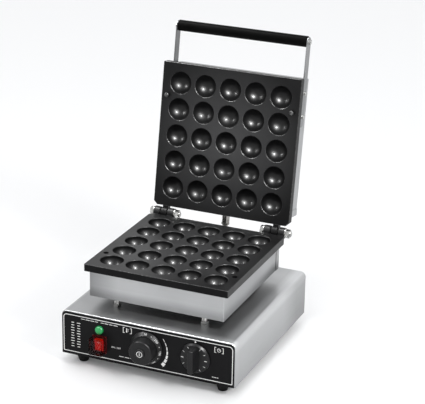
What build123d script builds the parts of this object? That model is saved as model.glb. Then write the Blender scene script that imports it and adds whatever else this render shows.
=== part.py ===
from build123d import *
import math
import os

os.makedirs("parts", exist_ok=True)

# Cake pop maker: two hinged plates of 25 half-ball cups over a control box.
# Millimetres. X to the right, Y to the back, Z up. The origin lies on the worktop,
# under the middle of the whole machine with its lid open.

# ---- driving dimensions: control box ----
box_width = 300.0
box_depth = 308.0
box_height = 74.5
box_front = -176.5
box_edge_radius = 9.0
box_sheet = 1.2
front_edge_radius = 1.5
return_width = 14.0
overlay_thickness = 0.8
bottom_sheet = 1.2
bottom_margin = 4.0
foot_height = 16.3
foot_top_diameter = 23.0
foot_base_diameter = 15.0
foot_inset_x = 28.5
foot_inset_y = 21.0

# ---- driving dimensions: cooking plates ----
cup_count = 5
cup_pitch = 45.0
cup_diameter = 38.0
cup_wall = 3.0
boss_valley = 5.0
boss_tip_share = 0.62
plate_side = 247.0
plate_thickness = 12.0
plate_corner_cut = 6.0
plate_corner_radius = 2.0
plate_edge_break = 0.6
cup_edge_break = 0.6
closed_gap = 0.5
pin_diameter = 8.0
pin_height = 7.0
pin_tip_radius = 2.0
pin_clearance = 0.6
pin_hole_spare = 1.0
pin_x = 112.0

# ---- driving dimensions: casings, hinge, lid ----
casing_height = 43.0
casing_sheet = 0.8
casing_inset_side = 7.5
casing_inset_front = 5.0
casing_inset_hinge = 9.0
standoff_height = 18.0
standoff_inset_x = 40.0
standoff_inset_y = 14.5
standoff_front_air = 14.0
hinge_reach = 11.7
knuckle_diameter = 18.0
knuckle_length = 11.4
knuckle_gap = 1.4
knuckle_edge_break = 0.9
knuckle_root = 2.0
stop_gap = 0.15
heel_margin = 1.5
heel_rise = 0.3
heel_web = 2.0
hinge_spread = 101.0
hinge_bolt_diameter = 8.0
hinge_fit = 0.05
lid_open_angle = 98.9

# ---- driving dimensions: hose from the lid to the control box ----
hose_radius = 5.0
bush_flange_radius = 11.0
rear_fold = 12.0
rear_fold_air = 1.0
hose_setback = 19.5

# ---- driving dimensions: handle ----
arm_width = 16.0
arm_sheet = 2.0
arm_edge_break = 0.3
arm_start = 182.0
handle_reach = 317.0
handle_depth = 35.0
grip_diameter = 18.5
grip_edge_break = 0.8
grip_end_gap = 0.2
rod_diameter = 8.0

# ---- driving dimensions: controls ----
lamp_x = -82.0
lamp_drop = 21.7
switch_x = -82.0
switch_drop = 46.5
thermostat_x = 0.0
timer_x = 83.0
knob_drop = 36.0
knob_air = 0.8
thermostat_skirt_diameter = 55.0
timer_dial_diameter = 50.0
spindle_diameter = 6.0
spindle_fit = 0.05

# ---- fasteners and clearances ----
slip = 0.3
hole_ease = 0.25
# Threads and push fits are drawn a hair apart; a screw stops short of its hole's floor.
snug = 0.02
tip_gap = 0.2
m3 = 3.0
m4 = 4.0
m5 = 5.0
m6 = 6.0
m3_head_width = 6.0
m3_head_height = 2.0
m4_head_height = 2.6
m5_head_width = 9.5
m5_head_height = 3.7

# ---- levels and places worked out from the dimensions above ----
box_bottom = foot_height + bottom_sheet
box_top = box_bottom + box_height
box_rear = box_front + box_depth
casing_bottom = box_top + standoff_height
plate_bottom = casing_bottom + casing_height
plate_top = plate_bottom + plate_thickness
# The hose comes down just ahead of the rear panel's fold, and the grill stands ahead of it.
hose_y = box_rear - rear_fold - bush_flange_radius - rear_fold_air
casing_x = plate_side / 2 - casing_inset_side
casing_front = -plate_side / 2 + casing_inset_front
casing_hinge = plate_side / 2 - casing_inset_hinge
grill_y = hose_y - hose_setback - casing_hinge
hinge_offset = plate_side / 2 + hinge_reach
hinge_y = grill_y + hinge_offset
hinge_z = plate_top + closed_gap / 2
cup_radius = cup_diameter / 2
boss_depth = cup_radius + cup_wall
boss_root_radius = min((cup_pitch - boss_valley) / 2, cup_radius + cup_wall)
boss_tip_radius = cup_radius * boss_tip_share
control_z = box_top - knob_drop
switch_z = box_top - switch_drop
lamp_z = box_top - lamp_drop
panel_face = box_front - overlay_thickness

# The lower plate's cooking face, and the lid plate's. On both, local +Y points to the
# hinge and local +Z out of the cooking face, so one set of functions makes both units.
lower_face = Plane(origin=(0, grill_y, plate_top), x_dir=(1, 0, 0), z_dir=(0, 0, 1))
lean = math.radians(180 - lid_open_angle)
face_normal = Vector(0, -math.sin(lean), math.cos(lean))
to_hinge = Vector(0, -math.cos(lean), -math.sin(lean))
lid_origin = Vector(0, hinge_y, hinge_z) - to_hinge * hinge_offset - face_normal * (closed_gap / 2)
lid_face = Plane(origin=lid_origin, x_dir=(-1, 0, 0), z_dir=face_normal)


def side_plane(face, x):
    """Plane across a unit at local x, drawn in local (y, z)."""
    origin = face.from_local_coords(Vector(x, 0, 0))
    return Plane(origin=origin, x_dir=face.y_dir, z_dir=face.x_dir)


def front_plane(y):
    """Plane facing the user at y, drawn in (x, z); extrusions go to the back."""
    return Plane(origin=(0, y, 0), x_dir=(-1, 0, 0), z_dir=(0, 1, 0))


def finish(builder, label):
    builder.part.label = label
    export_step(builder.part, f"parts/{label}.step")


# ---- base box: wrapped stainless sheet with a front wall and inward bottom returns ----
# The standoffs stand in from the casing's walls, and clear of the box's front wall.
standoff_x = casing_x - standoff_inset_x
standoff_y = min(casing_hinge - standoff_inset_y, grill_y - box_front - standoff_front_air)
duct_setback = 62.0
duct_y = grill_y + duct_setback
duct_outer = 20.0
duct_wall = 2.0
bush_outer_radius = 8.0
switch_body_width = 22.0
switch_body_height = 27.0
lamp_body_diameter = 10.0
spindle_hole = 11.0
control_screw_pitch = 28.0
foot_x = box_width / 2 - foot_inset_x
foot_front_y = box_front + foot_inset_y
foot_rear_y = box_rear - foot_inset_y
standoff_points = [
    (sx * standoff_x, grill_y + sy * standoff_y) for sx in (-1, 1) for sy in (-1, 1)
]
box_center_y = box_front + box_depth / 2
foot_points = [(sx * foot_x, y) for sx in (-1, 1) for y in (foot_front_y, foot_rear_y)]
bottom_screw_inset = 9.0
bottom_screw_x = box_width / 2 - bottom_screw_inset
bottom_screw_span = 80.0
bottom_screw_points = [
    (sx * bottom_screw_x, box_center_y + step * bottom_screw_span)
    for sx in (-1, 1)
    for step in (-1, 0, 1)
]


def control_cutouts(mode=Mode.ADD):
    """Openings for the controls, drawn on a front plane."""
    slot_width = switch_body_width + 2 * hole_ease
    slot_height = switch_body_height + 2 * hole_ease
    with Locations((-lamp_x, lamp_z)):
        Circle(lamp_body_diameter / 2 + hole_ease, mode=mode)
    with Locations((-switch_x, switch_z)):
        Rectangle(slot_width, slot_height, mode=mode)
    for knob_x in (thermostat_x, timer_x):
        with Locations((-knob_x, control_z)):
            Circle(spindle_hole / 2, mode=mode)
            with GridLocations(control_screw_pitch, 1, 2, 1):
                Circle(m4 / 2 + hole_ease, mode=mode)


def box_outline(width, height, radius, center_z):
    """Box cross-section with its two long top edges rounded."""
    with Locations((0, center_z)):
        shape = Rectangle(width, height)
    top_corners = shape.vertices().group_by(Axis.Y)[-1]
    fillet(top_corners, radius)


with BuildPart() as base_housing:
    with BuildSketch(front_plane(box_front)):
        box_outline(box_width, box_height, box_edge_radius, box_bottom + box_height / 2)
    extrude(amount=box_depth)
    front_rim = base_housing.faces().sort_by(Axis.Y)[0].edges()
    fillet(front_rim.filter_by(lambda e: e.center().Z > box_bottom + 1), front_edge_radius)
    with BuildSketch(front_plane(box_front + box_sheet)):
        box_outline(
            box_width - 2 * box_sheet,
            box_height - 2 * box_sheet,
            box_edge_radius - box_sheet,
            box_bottom + box_height / 2,
        )
    extrude(amount=box_depth, mode=Mode.SUBTRACT)
    with BuildSketch(Plane.XY.offset(box_bottom)):
        with Locations((0, (box_front + return_width + box_rear) / 2)):
            Rectangle(box_width - 2 * return_width, box_depth - return_width)
    extrude(amount=box_sheet, mode=Mode.SUBTRACT)
    with BuildSketch(Plane.XY.offset(box_bottom)):
        with Locations(*bottom_screw_points):
            Circle(m3 / 2)
    extrude(amount=box_sheet, mode=Mode.SUBTRACT)
    with BuildSketch(front_plane(box_front)):
        control_cutouts()
    extrude(amount=box_sheet, mode=Mode.SUBTRACT)
    with BuildSketch(Plane.XY.offset(box_top)):
        with Locations(*standoff_points):
            Circle(m6 / 2 + hole_ease)
        with Locations((0, duct_y)):
            Circle(duct_outer / 2 + hole_ease)
        with Locations((0, hose_y)):
            Circle(bush_outer_radius + hole_ease)
    extrude(amount=-box_sheet, mode=Mode.SUBTRACT)
finish(base_housing, "base_housing")

# ---- control overlay: the black panel skin on the front wall ----
with BuildPart() as control_overlay:
    with BuildSketch(front_plane(panel_face)):
        box_outline(
            box_width - 2 * front_edge_radius,
            box_height - front_edge_radius,
            box_edge_radius - front_edge_radius,
            box_bottom + (box_height - front_edge_radius) / 2,
        )
        control_cutouts(Mode.SUBTRACT)
    extrude(amount=overlay_thickness)
finish(control_overlay, "control_overlay")

# ---- rear panel: folded sheet closing the back, with slots and the cord gland hole ----
gland_x = 95.0
gland_rise = 30.0
gland_z = box_bottom + gland_rise
gland_thread = 15.0
rear_width = box_width - 2 * box_sheet - 2 * slip
rear_height = box_height - 2 * box_sheet
rear_slot_length = 22.0
rear_slot_width = 3.0
rear_slot_pitch = 7.0
rear_slot_gap = 8.0
rear_slot_x = -60.0
rear_screw_x = 60.0
rear_screw_points = [(sx * rear_screw_x, box_rear - rear_fold / 2) for sx in (-1, 1)]

with BuildPart() as rear_panel:
    with BuildSketch(front_plane(box_rear - rear_fold)):
        box_outline(
            rear_width, rear_height, box_edge_radius - box_sheet, box_bottom + box_height / 2
        )
    extrude(amount=rear_fold)
    with BuildSketch(front_plane(box_rear - rear_fold)):
        box_outline(
            rear_width - 2 * box_sheet,
            rear_height - 2 * box_sheet,
            box_edge_radius - 2 * box_sheet,
            box_bottom + box_height / 2,
        )
    extrude(amount=rear_fold - box_sheet, mode=Mode.SUBTRACT)
    with BuildSketch(front_plane(box_rear)):
        with Locations((-gland_x, gland_z)):
            Circle(gland_thread / 2 + hole_ease)
        with Locations((-rear_slot_x, box_bottom + box_height / 2)):
            with GridLocations(rear_slot_length + rear_slot_gap, rear_slot_pitch, 3, 5):
                SlotOverall(rear_slot_length, rear_slot_width)
    extrude(amount=-box_sheet, mode=Mode.SUBTRACT)
    with BuildSketch(Plane.XY.offset(box_bottom)):
        with Locations(*rear_screw_points):
            Circle(m3 / 2)
    extrude(amount=3 * box_sheet, mode=Mode.SUBTRACT)
finish(rear_panel, "rear_panel")

# ---- bottom plate: slotted sheet screwed up against the returns ----
bottom_width = box_width - 2 * bottom_margin
bottom_depth = box_depth - 2 * bottom_margin
bottom_corner = 4.0
bottom_slot_length = 42.0
bottom_slot_width = 4.0
bottom_slot_step_x = 54.0
bottom_slot_step_y = 12.0
bottom_screw_length = 6.0
rear_screw_length = 8.0

with BuildPart() as bottom_plate:
    with BuildSketch(Plane.XY.offset(foot_height)):
        with Locations((0, box_center_y)):
            RectangleRounded(bottom_width, bottom_depth, bottom_corner)
            with GridLocations(bottom_slot_step_x, bottom_slot_step_y, 3, 8):
                SlotOverall(bottom_slot_length, bottom_slot_width, mode=Mode.SUBTRACT)
        with Locations(*foot_points):
            Circle(m5 / 2 + hole_ease, mode=Mode.SUBTRACT)
        with Locations(*bottom_screw_points, *rear_screw_points):
            Circle(m3 / 2 + hole_ease, mode=Mode.SUBTRACT)
    extrude(amount=bottom_sheet)
finish(bottom_plate, "bottom_plate")


def pan_screw(x, y, seat_z, diameter, length, head_width, head_height):
    """Pan-head screw driven upwards, its head below its seat."""
    with BuildSketch(Plane.XY.offset(seat_z)) as shape:
        with Locations((x, y)):
            Circle(diameter / 2)
    extrude(shape.sketch, amount=length)
    with BuildSketch(Plane.XY.offset(seat_z)) as shape:
        with Locations((x, y)):
            Circle(head_width / 2)
    extrude(shape.sketch, amount=-head_height)


with BuildPart() as bottom_screws:
    for x, y in bottom_screw_points:
        pan_screw(x, y, foot_height, m3, bottom_screw_length, m3_head_width, m3_head_height)
finish(bottom_screws, "bottom_screws")

with BuildPart() as rear_screws:
    for x, y in rear_screw_points:
        pan_screw(x, y, foot_height, m3, rear_screw_length, m3_head_width, m3_head_height)
finish(rear_screws, "rear_screws")

# ---- feet: tapered rubber with a screw well, screw and nut ----
foot_well_diameter = 11.0
foot_web = 5.0
foot_band = 4.0
foot_edge_radius = 1.0
foot_screw_grip = 8.0
foot_nut_corner = 4.6
foot_nut_height = 4.0
foot_names = ("foot_front_left", "foot_rear_left", "foot_front_right", "foot_rear_right")
for name, (x, y) in zip(foot_names, foot_points):
    with BuildPart() as foot:
        with BuildSketch(Plane(origin=(x, y, 0), x_dir=(1, 0, 0), z_dir=(0, -1, 0))):
            with BuildLine():
                Polyline(
                    (foot_well_diameter / 2, 0),
                    (foot_base_diameter / 2, 0),
                    (foot_top_diameter / 2, foot_height - foot_band),
                    (foot_top_diameter / 2, foot_height),
                    (m5 / 2 + hole_ease, foot_height),
                    (m5 / 2 + hole_ease, foot_height - foot_web),
                    (foot_well_diameter / 2, foot_height - foot_web),
                    close=True,
                )
            make_face()
        revolve(axis=Axis((x, y, 0), (0, 0, 1)))
        round_edges = foot.edges().filter_by(GeomType.CIRCLE)
        sole = round_edges.filter_by(lambda e: abs(e.radius - foot_base_diameter / 2) < 0.01)
        fillet(sole, foot_edge_radius)
    finish(foot, name)

with BuildPart() as foot_screws:
    for x, y in foot_points:
        pan_screw(
            x, y, foot_height - foot_web, m5, foot_web + foot_screw_grip,
            m5_head_width, m5_head_height,
        )
finish(foot_screws, "foot_screws")

with BuildPart() as foot_nuts:
    with BuildSketch(Plane.XY.offset(box_bottom)):
        with Locations(*foot_points):
            RegularPolygon(foot_nut_corner, 6)
            Circle(m5 / 2 + snug, mode=Mode.SUBTRACT)
    extrude(amount=foot_nut_height)
finish(foot_nuts, "foot_nuts")

# ---- cord gland in the rear panel and its lock nut ----
gland_bore = 8.0
gland_hex = 11.0
gland_flange = 5.0
gland_cap = 14.0
gland_cap_radius = 9.24
gland_cap_taper = 8.0
gland_inside = 9.0
gland_nut_height = 4.0

with BuildPart() as cord_gland:
    with BuildSketch(front_plane(box_rear)):
        with Locations((-gland_x, gland_z)):
            RegularPolygon(gland_hex, 6)
    extrude(amount=gland_flange)
    with BuildSketch(front_plane(box_rear + gland_flange)):
        with Locations((-gland_x, gland_z)):
            Circle(gland_cap_radius)
    extrude(amount=gland_cap, taper=gland_cap_taper)
    with BuildSketch(front_plane(box_rear - box_sheet - gland_inside)):
        with Locations((-gland_x, gland_z)):
            Circle(gland_thread / 2)
    extrude(amount=box_sheet + gland_inside)
    with BuildSketch(front_plane(box_rear - box_sheet - gland_inside)):
        with Locations((-gland_x, gland_z)):
            Circle(gland_bore / 2)
    extrude(amount=box_sheet + gland_inside + gland_flange + gland_cap, mode=Mode.SUBTRACT)
finish(cord_gland, "cord_gland")

with BuildPart() as cord_gland_nut:
    with BuildSketch(front_plane(box_rear - box_sheet - gland_nut_height)):
        with Locations((-gland_x, gland_z)):
            RegularPolygon(gland_hex, 6)
            Circle(gland_thread / 2 + snug, mode=Mode.SUBTRACT)
    extrude(amount=gland_nut_height)
finish(cord_gland_nut, "cord_gland_nut")

# ---- pilot lamp: domed lens, body through the panel, nut behind ----
lamp_lens_diameter = 13.5
lamp_lens_height = 5.5
lens_radius = lamp_lens_diameter / 2
lens_crown = 3.2
lamp_body_length = 24.0
lamp_nut_corner = 8.0
lamp_nut_height = 3.0
with BuildPart() as pilot_lamp_lens:
    with BuildSketch(front_plane(panel_face)):
        with Locations((-lamp_x, lamp_z)):
            Circle(lens_radius)
    extrude(amount=-lamp_lens_height)
    fillet(pilot_lamp_lens.edges().group_by(Axis.Y)[0], lens_crown)
finish(pilot_lamp_lens, "pilot_lamp_lens")

with BuildPart() as pilot_lamp_body:
    with BuildSketch(front_plane(panel_face)):
        with Locations((-lamp_x, lamp_z)):
            Circle(lamp_body_diameter / 2)
    extrude(amount=lamp_body_length)
finish(pilot_lamp_body, "pilot_lamp_body")

with BuildPart() as pilot_lamp_nut:
    with BuildSketch(front_plane(box_front + box_sheet)):
        with Locations((-lamp_x, lamp_z)):
            RegularPolygon(lamp_nut_corner, 6)
            Circle(lamp_body_diameter / 2 + snug, mode=Mode.SUBTRACT)
    extrude(amount=lamp_nut_height)
finish(pilot_lamp_nut, "pilot_lamp_nut")

# ---- rocker switch: bezel and body, rocker on trunnions, soft clear cover ----
bezel_width = 25.0
bezel_height = 29.5
bezel_thickness = 2.0
bezel_corner = 1.5
switch_body_depth = 24.0
rocker_width = 14.0
rocker_length = 19.0
rocker_tilt = 11.0
rocker_side_gap = 0.4
rocker_end_gap = 0.5
horn = -4.6
valley = -2.4
heel = 1.6
heel_inset = 1.0
belly = 8.0
well_depth = 12.0
trunnion_diameter = 3.0
trunnion_length = 1.6
trunnion_fit = 0.05
trunnion_cheek = 0.8
pivot_setback = 2.0
cover_margin = 0.6
cover_width = bezel_width - 2 * cover_margin
cover_height = bezel_height - 2 * cover_margin
cover_depth = 15.0
cover_wall = 1.0
cover_corner = 2.0
cover_taper = 1.5
cover_edge_radius = 0.8
bezel_face = panel_face - bezel_thickness
pivot_y = bezel_face + pivot_setback
rocker_arm = rocker_length / 2
rocker_swing = math.hypot(horn, rocker_arm)
well_width = rocker_width + 2 * rocker_side_gap
well_height = 2 * (rocker_swing + rocker_end_gap)

with BuildPart() as switch_housing:
    with BuildSketch(front_plane(bezel_face)):
        with Locations((-switch_x, switch_z)):
            RectangleRounded(bezel_width, bezel_height, bezel_corner)
    extrude(amount=bezel_thickness)
    with BuildSketch(front_plane(panel_face)):
        with Locations((-switch_x, switch_z)):
            Rectangle(switch_body_width, switch_body_height)
    extrude(amount=switch_body_depth)
    with BuildSketch(front_plane(bezel_face)):
        with Locations((-switch_x, switch_z)):
            Rectangle(well_width, well_height)
    extrude(amount=well_depth, mode=Mode.SUBTRACT)
    bore_start = switch_x - switch_body_width / 2 + trunnion_cheek
    with BuildSketch(Plane(origin=(bore_start, 0, 0), x_dir=(0, 1, 0), z_dir=(1, 0, 0))):
        with Locations((pivot_y, switch_z)):
            Circle(trunnion_diameter / 2 + trunnion_fit)
    extrude(amount=switch_body_width - 2 * trunnion_cheek, mode=Mode.SUBTRACT)
finish(switch_housing, "switch_housing")

# The rocker is drawn level, in (depth, height) about its pivot, on a tipped plane.
tip = math.radians(rocker_tilt)
rocker_plane = Plane(
    origin=(switch_x - rocker_width / 2, pivot_y, switch_z),
    x_dir=(0, math.cos(tip), math.sin(tip)),
    z_dir=(1, 0, 0),
)
with BuildPart() as switch_rocker:
    with BuildSketch(rocker_plane):
        with BuildLine():
            Polyline(
                (heel, rocker_arm - heel_inset),
                (horn, rocker_arm),
                (valley, 0),
                (horn, -rocker_arm),
                (heel, heel_inset - rocker_arm),
            )
            ThreePointArc(
                (heel, heel_inset - rocker_arm), (belly, 0), (heel, rocker_arm - heel_inset)
            )
        make_face()
    extrude(amount=rocker_width)
    with BuildSketch(rocker_plane.offset(-trunnion_length)):
        Circle(trunnion_diameter / 2)
    extrude(amount=rocker_width + 2 * trunnion_length)
finish(switch_rocker, "switch_rocker")

with BuildPart() as switch_cover:
    with BuildSketch(front_plane(bezel_face)):
        with Locations((-switch_x, switch_z)):
            RectangleRounded(cover_width, cover_height, cover_corner)
    extrude(amount=-cover_depth, taper=cover_taper)
    with BuildSketch(front_plane(bezel_face)):
        with Locations((-switch_x, switch_z)):
            RectangleRounded(
                cover_width - 2 * cover_wall, cover_height - 2 * cover_wall, cover_corner - cover_wall
            )
    extrude(amount=-(cover_depth - cover_wall), taper=cover_taper, mode=Mode.SUBTRACT)
    outer_rim = switch_cover.faces().sort_by(Axis.Y)[0].edges()
    fillet(outer_rim, cover_edge_radius)
finish(switch_cover, "switch_cover")

# ---- thermostat and timer: body behind the front wall, spindle, knob, two screws ----
control_body_side = 36.0
control_body_corner = 3.0
control_body_depth = 26.0
timer_body_radius = 22.0
timer_body_depth = 32.0
control_screw_bite = 5.0
control_screw_head_radius = 3.6
flat_depth = 1.0
flat_margin = 4.0
spindle_socket = 12.0
spindle_reach = 16.0
screw_head_height = 2.2


def control_body(x, depth, rounded):
    """Switch body with the spindle's socket, fixed behind the front wall."""
    with BuildSketch(front_plane(box_front + box_sheet)) as shape:
        with Locations((-x, control_z)):
            if rounded:
                Circle(timer_body_radius)
            else:
                RectangleRounded(control_body_side, control_body_side, control_body_corner)
    extrude(shape.sketch, amount=depth)
    with BuildSketch(front_plane(box_front + box_sheet)) as shape:
        with Locations((-x, control_z)):
            Circle(spindle_diameter / 2 + spindle_fit)
    extrude(shape.sketch, amount=spindle_socket, mode=Mode.SUBTRACT)
    with BuildSketch(front_plane(box_front + box_sheet)) as shape:
        with Locations((-x - control_screw_pitch / 2, control_z),
                       (-x + control_screw_pitch / 2, control_z)):
            Circle(m4 / 2)
    extrude(shape.sketch, amount=control_screw_bite, mode=Mode.SUBTRACT)


def control_spindle(x):
    """Round spindle from its socket to inside the knob, with a flat at the tip."""
    start = box_front + box_sheet + spindle_socket - slip
    with BuildSketch(front_plane(start)) as shape:
        with Locations((-x, control_z)):
            Circle(spindle_diameter / 2)
    extrude(shape.sketch, amount=-(start - panel_face + spindle_reach))
    with BuildSketch(front_plane(panel_face - spindle_reach)) as shape:
        with Locations((-x, control_z + spindle_diameter / 2)):
            Rectangle(spindle_diameter, 2 * flat_depth)
    extrude(shape.sketch, amount=spindle_reach - flat_margin, mode=Mode.SUBTRACT)


def control_screws(x):
    """Two screws through the panel into the body, their heads under the knob."""
    spots = ((-x - control_screw_pitch / 2, control_z), (-x + control_screw_pitch / 2, control_z))
    with BuildSketch(front_plane(panel_face)) as shape:
        with Locations(*spots):
            Circle(m4 / 2 - snug)
    extrude(shape.sketch, amount=overlay_thickness + box_sheet + control_screw_bite - tip_gap)
    with BuildSketch(front_plane(panel_face)) as shape:
        with Locations(*spots):
            Circle(control_screw_head_radius)
    extrude(shape.sketch, amount=-screw_head_height)


def spindle_bore(x):
    """Knob bore that follows the spindle's flat."""
    with BuildSketch(front_plane(panel_face - knob_air)) as shape:
        with Locations((-x, control_z)):
            Circle(spindle_diameter / 2 + snug)
    extrude(shape.sketch, amount=-(spindle_reach - knob_air + slip), mode=Mode.SUBTRACT)


with BuildPart() as thermostat_body:
    control_body(thermostat_x, control_body_depth, False)
finish(thermostat_body, "thermostat_body")

with BuildPart() as thermostat_spindle:
    control_spindle(thermostat_x)
finish(thermostat_spindle, "thermostat_spindle")

with BuildPart() as thermostat_screws:
    control_screws(thermostat_x)
finish(thermostat_screws, "thermostat_screws")

# Thermostat knob: numbered cone skirt, smooth drum and a raised centre cap.
skirt_radius = thermostat_skirt_diameter / 2
skirt_height = 7.0
skirt_wall = 4.5
skirt_rim = 1.6
skirt_ledge = 1.0
drum_radius = 21.5
drum_groove = 0.5
drum_draft = 1.5
knob_height = 24.0
knob_hollow = 4.0
brow_radius = drum_radius - drum_draft
brow_round = 2.5
cap_radius = 8.0
cap_height = 2.2
cap_round = 1.32
with BuildPart() as thermostat_knob:
    with BuildSketch(
        Plane(origin=(thermostat_x, panel_face - knob_air, control_z), x_dir=(1, 0, 0),
              z_dir=(0, 0, 1))
    ):
        with BuildLine():
            Polyline(
                (0, -knob_height),
                (0, -knob_hollow),
                (skirt_radius - skirt_wall, -knob_hollow),
                (skirt_radius - skirt_wall, 0),
                (skirt_radius, 0),
                (skirt_radius, -skirt_rim),
                (drum_radius + skirt_ledge, -skirt_height),
                (drum_radius - drum_groove, -skirt_height),
                (brow_radius, -knob_height),
                close=True,
            )
        make_face()
    revolve(axis=Axis((thermostat_x, panel_face, control_z), (0, 1, 0)))
    fillet(thermostat_knob.edges().group_by(Axis.Y)[0], brow_round)
    with BuildSketch(front_plane(panel_face - knob_air - knob_height + slip)):
        with Locations((-thermostat_x, control_z)):
            Circle(cap_radius)
    extrude(amount=-(cap_height + slip))
    fillet(thermostat_knob.edges().group_by(Axis.Y)[0], cap_round)
    spindle_bore(thermostat_x)
finish(thermostat_knob, "thermostat_knob")

with BuildPart() as timer_body:
    control_body(timer_x, timer_body_depth, True)
finish(timer_body, "timer_body")

with BuildPart() as timer_spindle:
    control_spindle(timer_x)
finish(timer_spindle, "timer_spindle")

with BuildPart() as timer_screws:
    control_screws(timer_x)
finish(timer_screws, "timer_screws")

# Timer knob: flat dial with a tapered finger bar across it.
dial_radius = timer_dial_diameter / 2
dial_height = 4.5
dial_hollow = 2.6
dial_wall = 3.0
dial_rim = 1.5
dial_slope = 2.5
bar_length = 44.0
bar_thickness = 14.0
bar_height = 16.0
bar_sink = 0.2
bar_taper = 9.0
bar_edge_radius = 1.2
with BuildPart() as timer_knob:
    with BuildSketch(
        Plane(origin=(timer_x, panel_face - knob_air, control_z), x_dir=(1, 0, 0),
              z_dir=(0, 0, 1))
    ):
        with BuildLine():
            Polyline(
                (0, -dial_hollow),
                (dial_radius - dial_wall, -dial_hollow),
                (dial_radius - dial_wall, 0),
                (dial_radius, 0),
                (dial_radius, -dial_rim),
                (dial_radius - dial_slope, -dial_height),
                (0, -dial_height),
                close=True,
            )
        make_face()
    revolve(axis=Axis((timer_x, panel_face, control_z), (0, 1, 0)))
    with BuildSketch(front_plane(panel_face - knob_air - dial_height + bar_sink)):
        with Locations((-timer_x, control_z)):
            SlotOverall(bar_length, bar_thickness, rotation=90)
    extrude(amount=-bar_height, taper=bar_taper)
    fillet(timer_knob.faces().sort_by(Axis.Y)[0].edges(), bar_edge_radius)
    spindle_bore(timer_x)
finish(timer_knob, "timer_knob")

# ---- terminal block on the bottom plate ----
block_x = 70.0
block_setback = 70.0
block_y = box_rear - block_setback
block_length = 54.0
block_width = 24.0
block_base = 10.0
way_count = 3
way_pitch = 16.0
way_length = 12.0
way_width = 18.0
way_height = 9.0
way_screw_span = 9.0
way_screw_radius = 2.2
way_screw_depth = 7.0
with BuildPart() as terminal_block:
    with BuildSketch(Plane.XY.offset(box_bottom)):
        with Locations((block_x, block_y)):
            Rectangle(block_length, block_width)
    extrude(amount=block_base)
    with BuildSketch(Plane.XY.offset(box_bottom + block_base)):
        with Locations((block_x, block_y)):
            with GridLocations(way_pitch, 1, way_count, 1):
                Rectangle(way_length, way_width)
    extrude(amount=way_height)
    with BuildSketch(Plane.XY.offset(box_bottom + block_base + way_height)):
        with Locations((block_x, block_y)):
            with GridLocations(way_pitch, way_screw_span, way_count, 2):
                Circle(way_screw_radius)
    extrude(amount=-way_screw_depth, mode=Mode.SUBTRACT)
finish(terminal_block, "terminal_block")

# ---- standoffs that carry the lower unit on the box ----
sleeve_diameter = 10.0
standoff_nut_corner = 7.0
standoff_nut_height = 5.0
bolt_head_corner = 5.7
bolt_head_height = 4.0
bolt_stub = 2.0
with BuildPart() as standoff_sleeves:
    with BuildSketch(Plane.XY.offset(box_top + standoff_nut_height)):
        with Locations(*standoff_points):
            Circle(sleeve_diameter / 2)
            Circle(m6 / 2 + hole_ease, mode=Mode.SUBTRACT)
    extrude(amount=standoff_height - standoff_nut_height)
finish(standoff_sleeves, "standoff_sleeves")

with BuildPart() as standoff_nuts:
    with BuildSketch(Plane.XY.offset(box_top)):
        with Locations(*standoff_points):
            RegularPolygon(standoff_nut_corner, 6)
            Circle(m6 / 2 + snug, mode=Mode.SUBTRACT)
    extrude(amount=standoff_nut_height)
    with BuildSketch(Plane.XY.offset(box_top - box_sheet)):
        with Locations(*standoff_points):
            RegularPolygon(standoff_nut_corner, 6)
            Circle(m6 / 2 + snug, mode=Mode.SUBTRACT)
    extrude(amount=-standoff_nut_height)
finish(standoff_nuts, "standoff_nuts")

with BuildPart() as standoff_bolts:
    with BuildSketch(Plane.XY.offset(casing_bottom + casing_sheet)):
        with Locations(*standoff_points):
            Circle(m6 / 2)
    bolt_length = casing_sheet + standoff_height + box_sheet + standoff_nut_height + bolt_stub
    extrude(amount=-bolt_length)
    with BuildSketch(Plane.XY.offset(casing_bottom + casing_sheet)):
        with Locations(*standoff_points):
            RegularPolygon(bolt_head_corner, 6)
    extrude(amount=bolt_head_height)
finish(standoff_bolts, "standoff_bolts")

# ---- wire duct from the box into the lower casing, flanged, with a nut below ----
duct_flange = 14.0
duct_flange_thickness = 2.0
duct_nut_height = 4.0
duct_stub = 1.0
duct_bore = duct_outer / 2 - duct_wall
with BuildPart() as wire_duct:
    with BuildSketch(Plane.XY.offset(box_top - box_sheet - duct_nut_height - duct_stub)):
        with Locations((0, duct_y)):
            Circle(duct_outer / 2)
            Circle(duct_bore, mode=Mode.SUBTRACT)
    extrude(amount=duct_stub + duct_nut_height + box_sheet + standoff_height + casing_sheet)
    with BuildSketch(Plane.XY.offset(casing_bottom + casing_sheet)):
        with Locations((0, duct_y)):
            Circle(duct_flange)
            Circle(duct_bore, mode=Mode.SUBTRACT)
    extrude(amount=duct_flange_thickness)
finish(wire_duct, "wire_duct")

with BuildPart() as wire_duct_nut:
    with BuildSketch(Plane.XY.offset(box_top - box_sheet)):
        with Locations((0, duct_y)):
            RegularPolygon(duct_flange, 6)
            Circle(duct_outer / 2 + snug, mode=Mode.SUBTRACT)
    extrude(amount=-duct_nut_height)
finish(wire_duct_nut, "wire_duct_nut")

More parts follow.
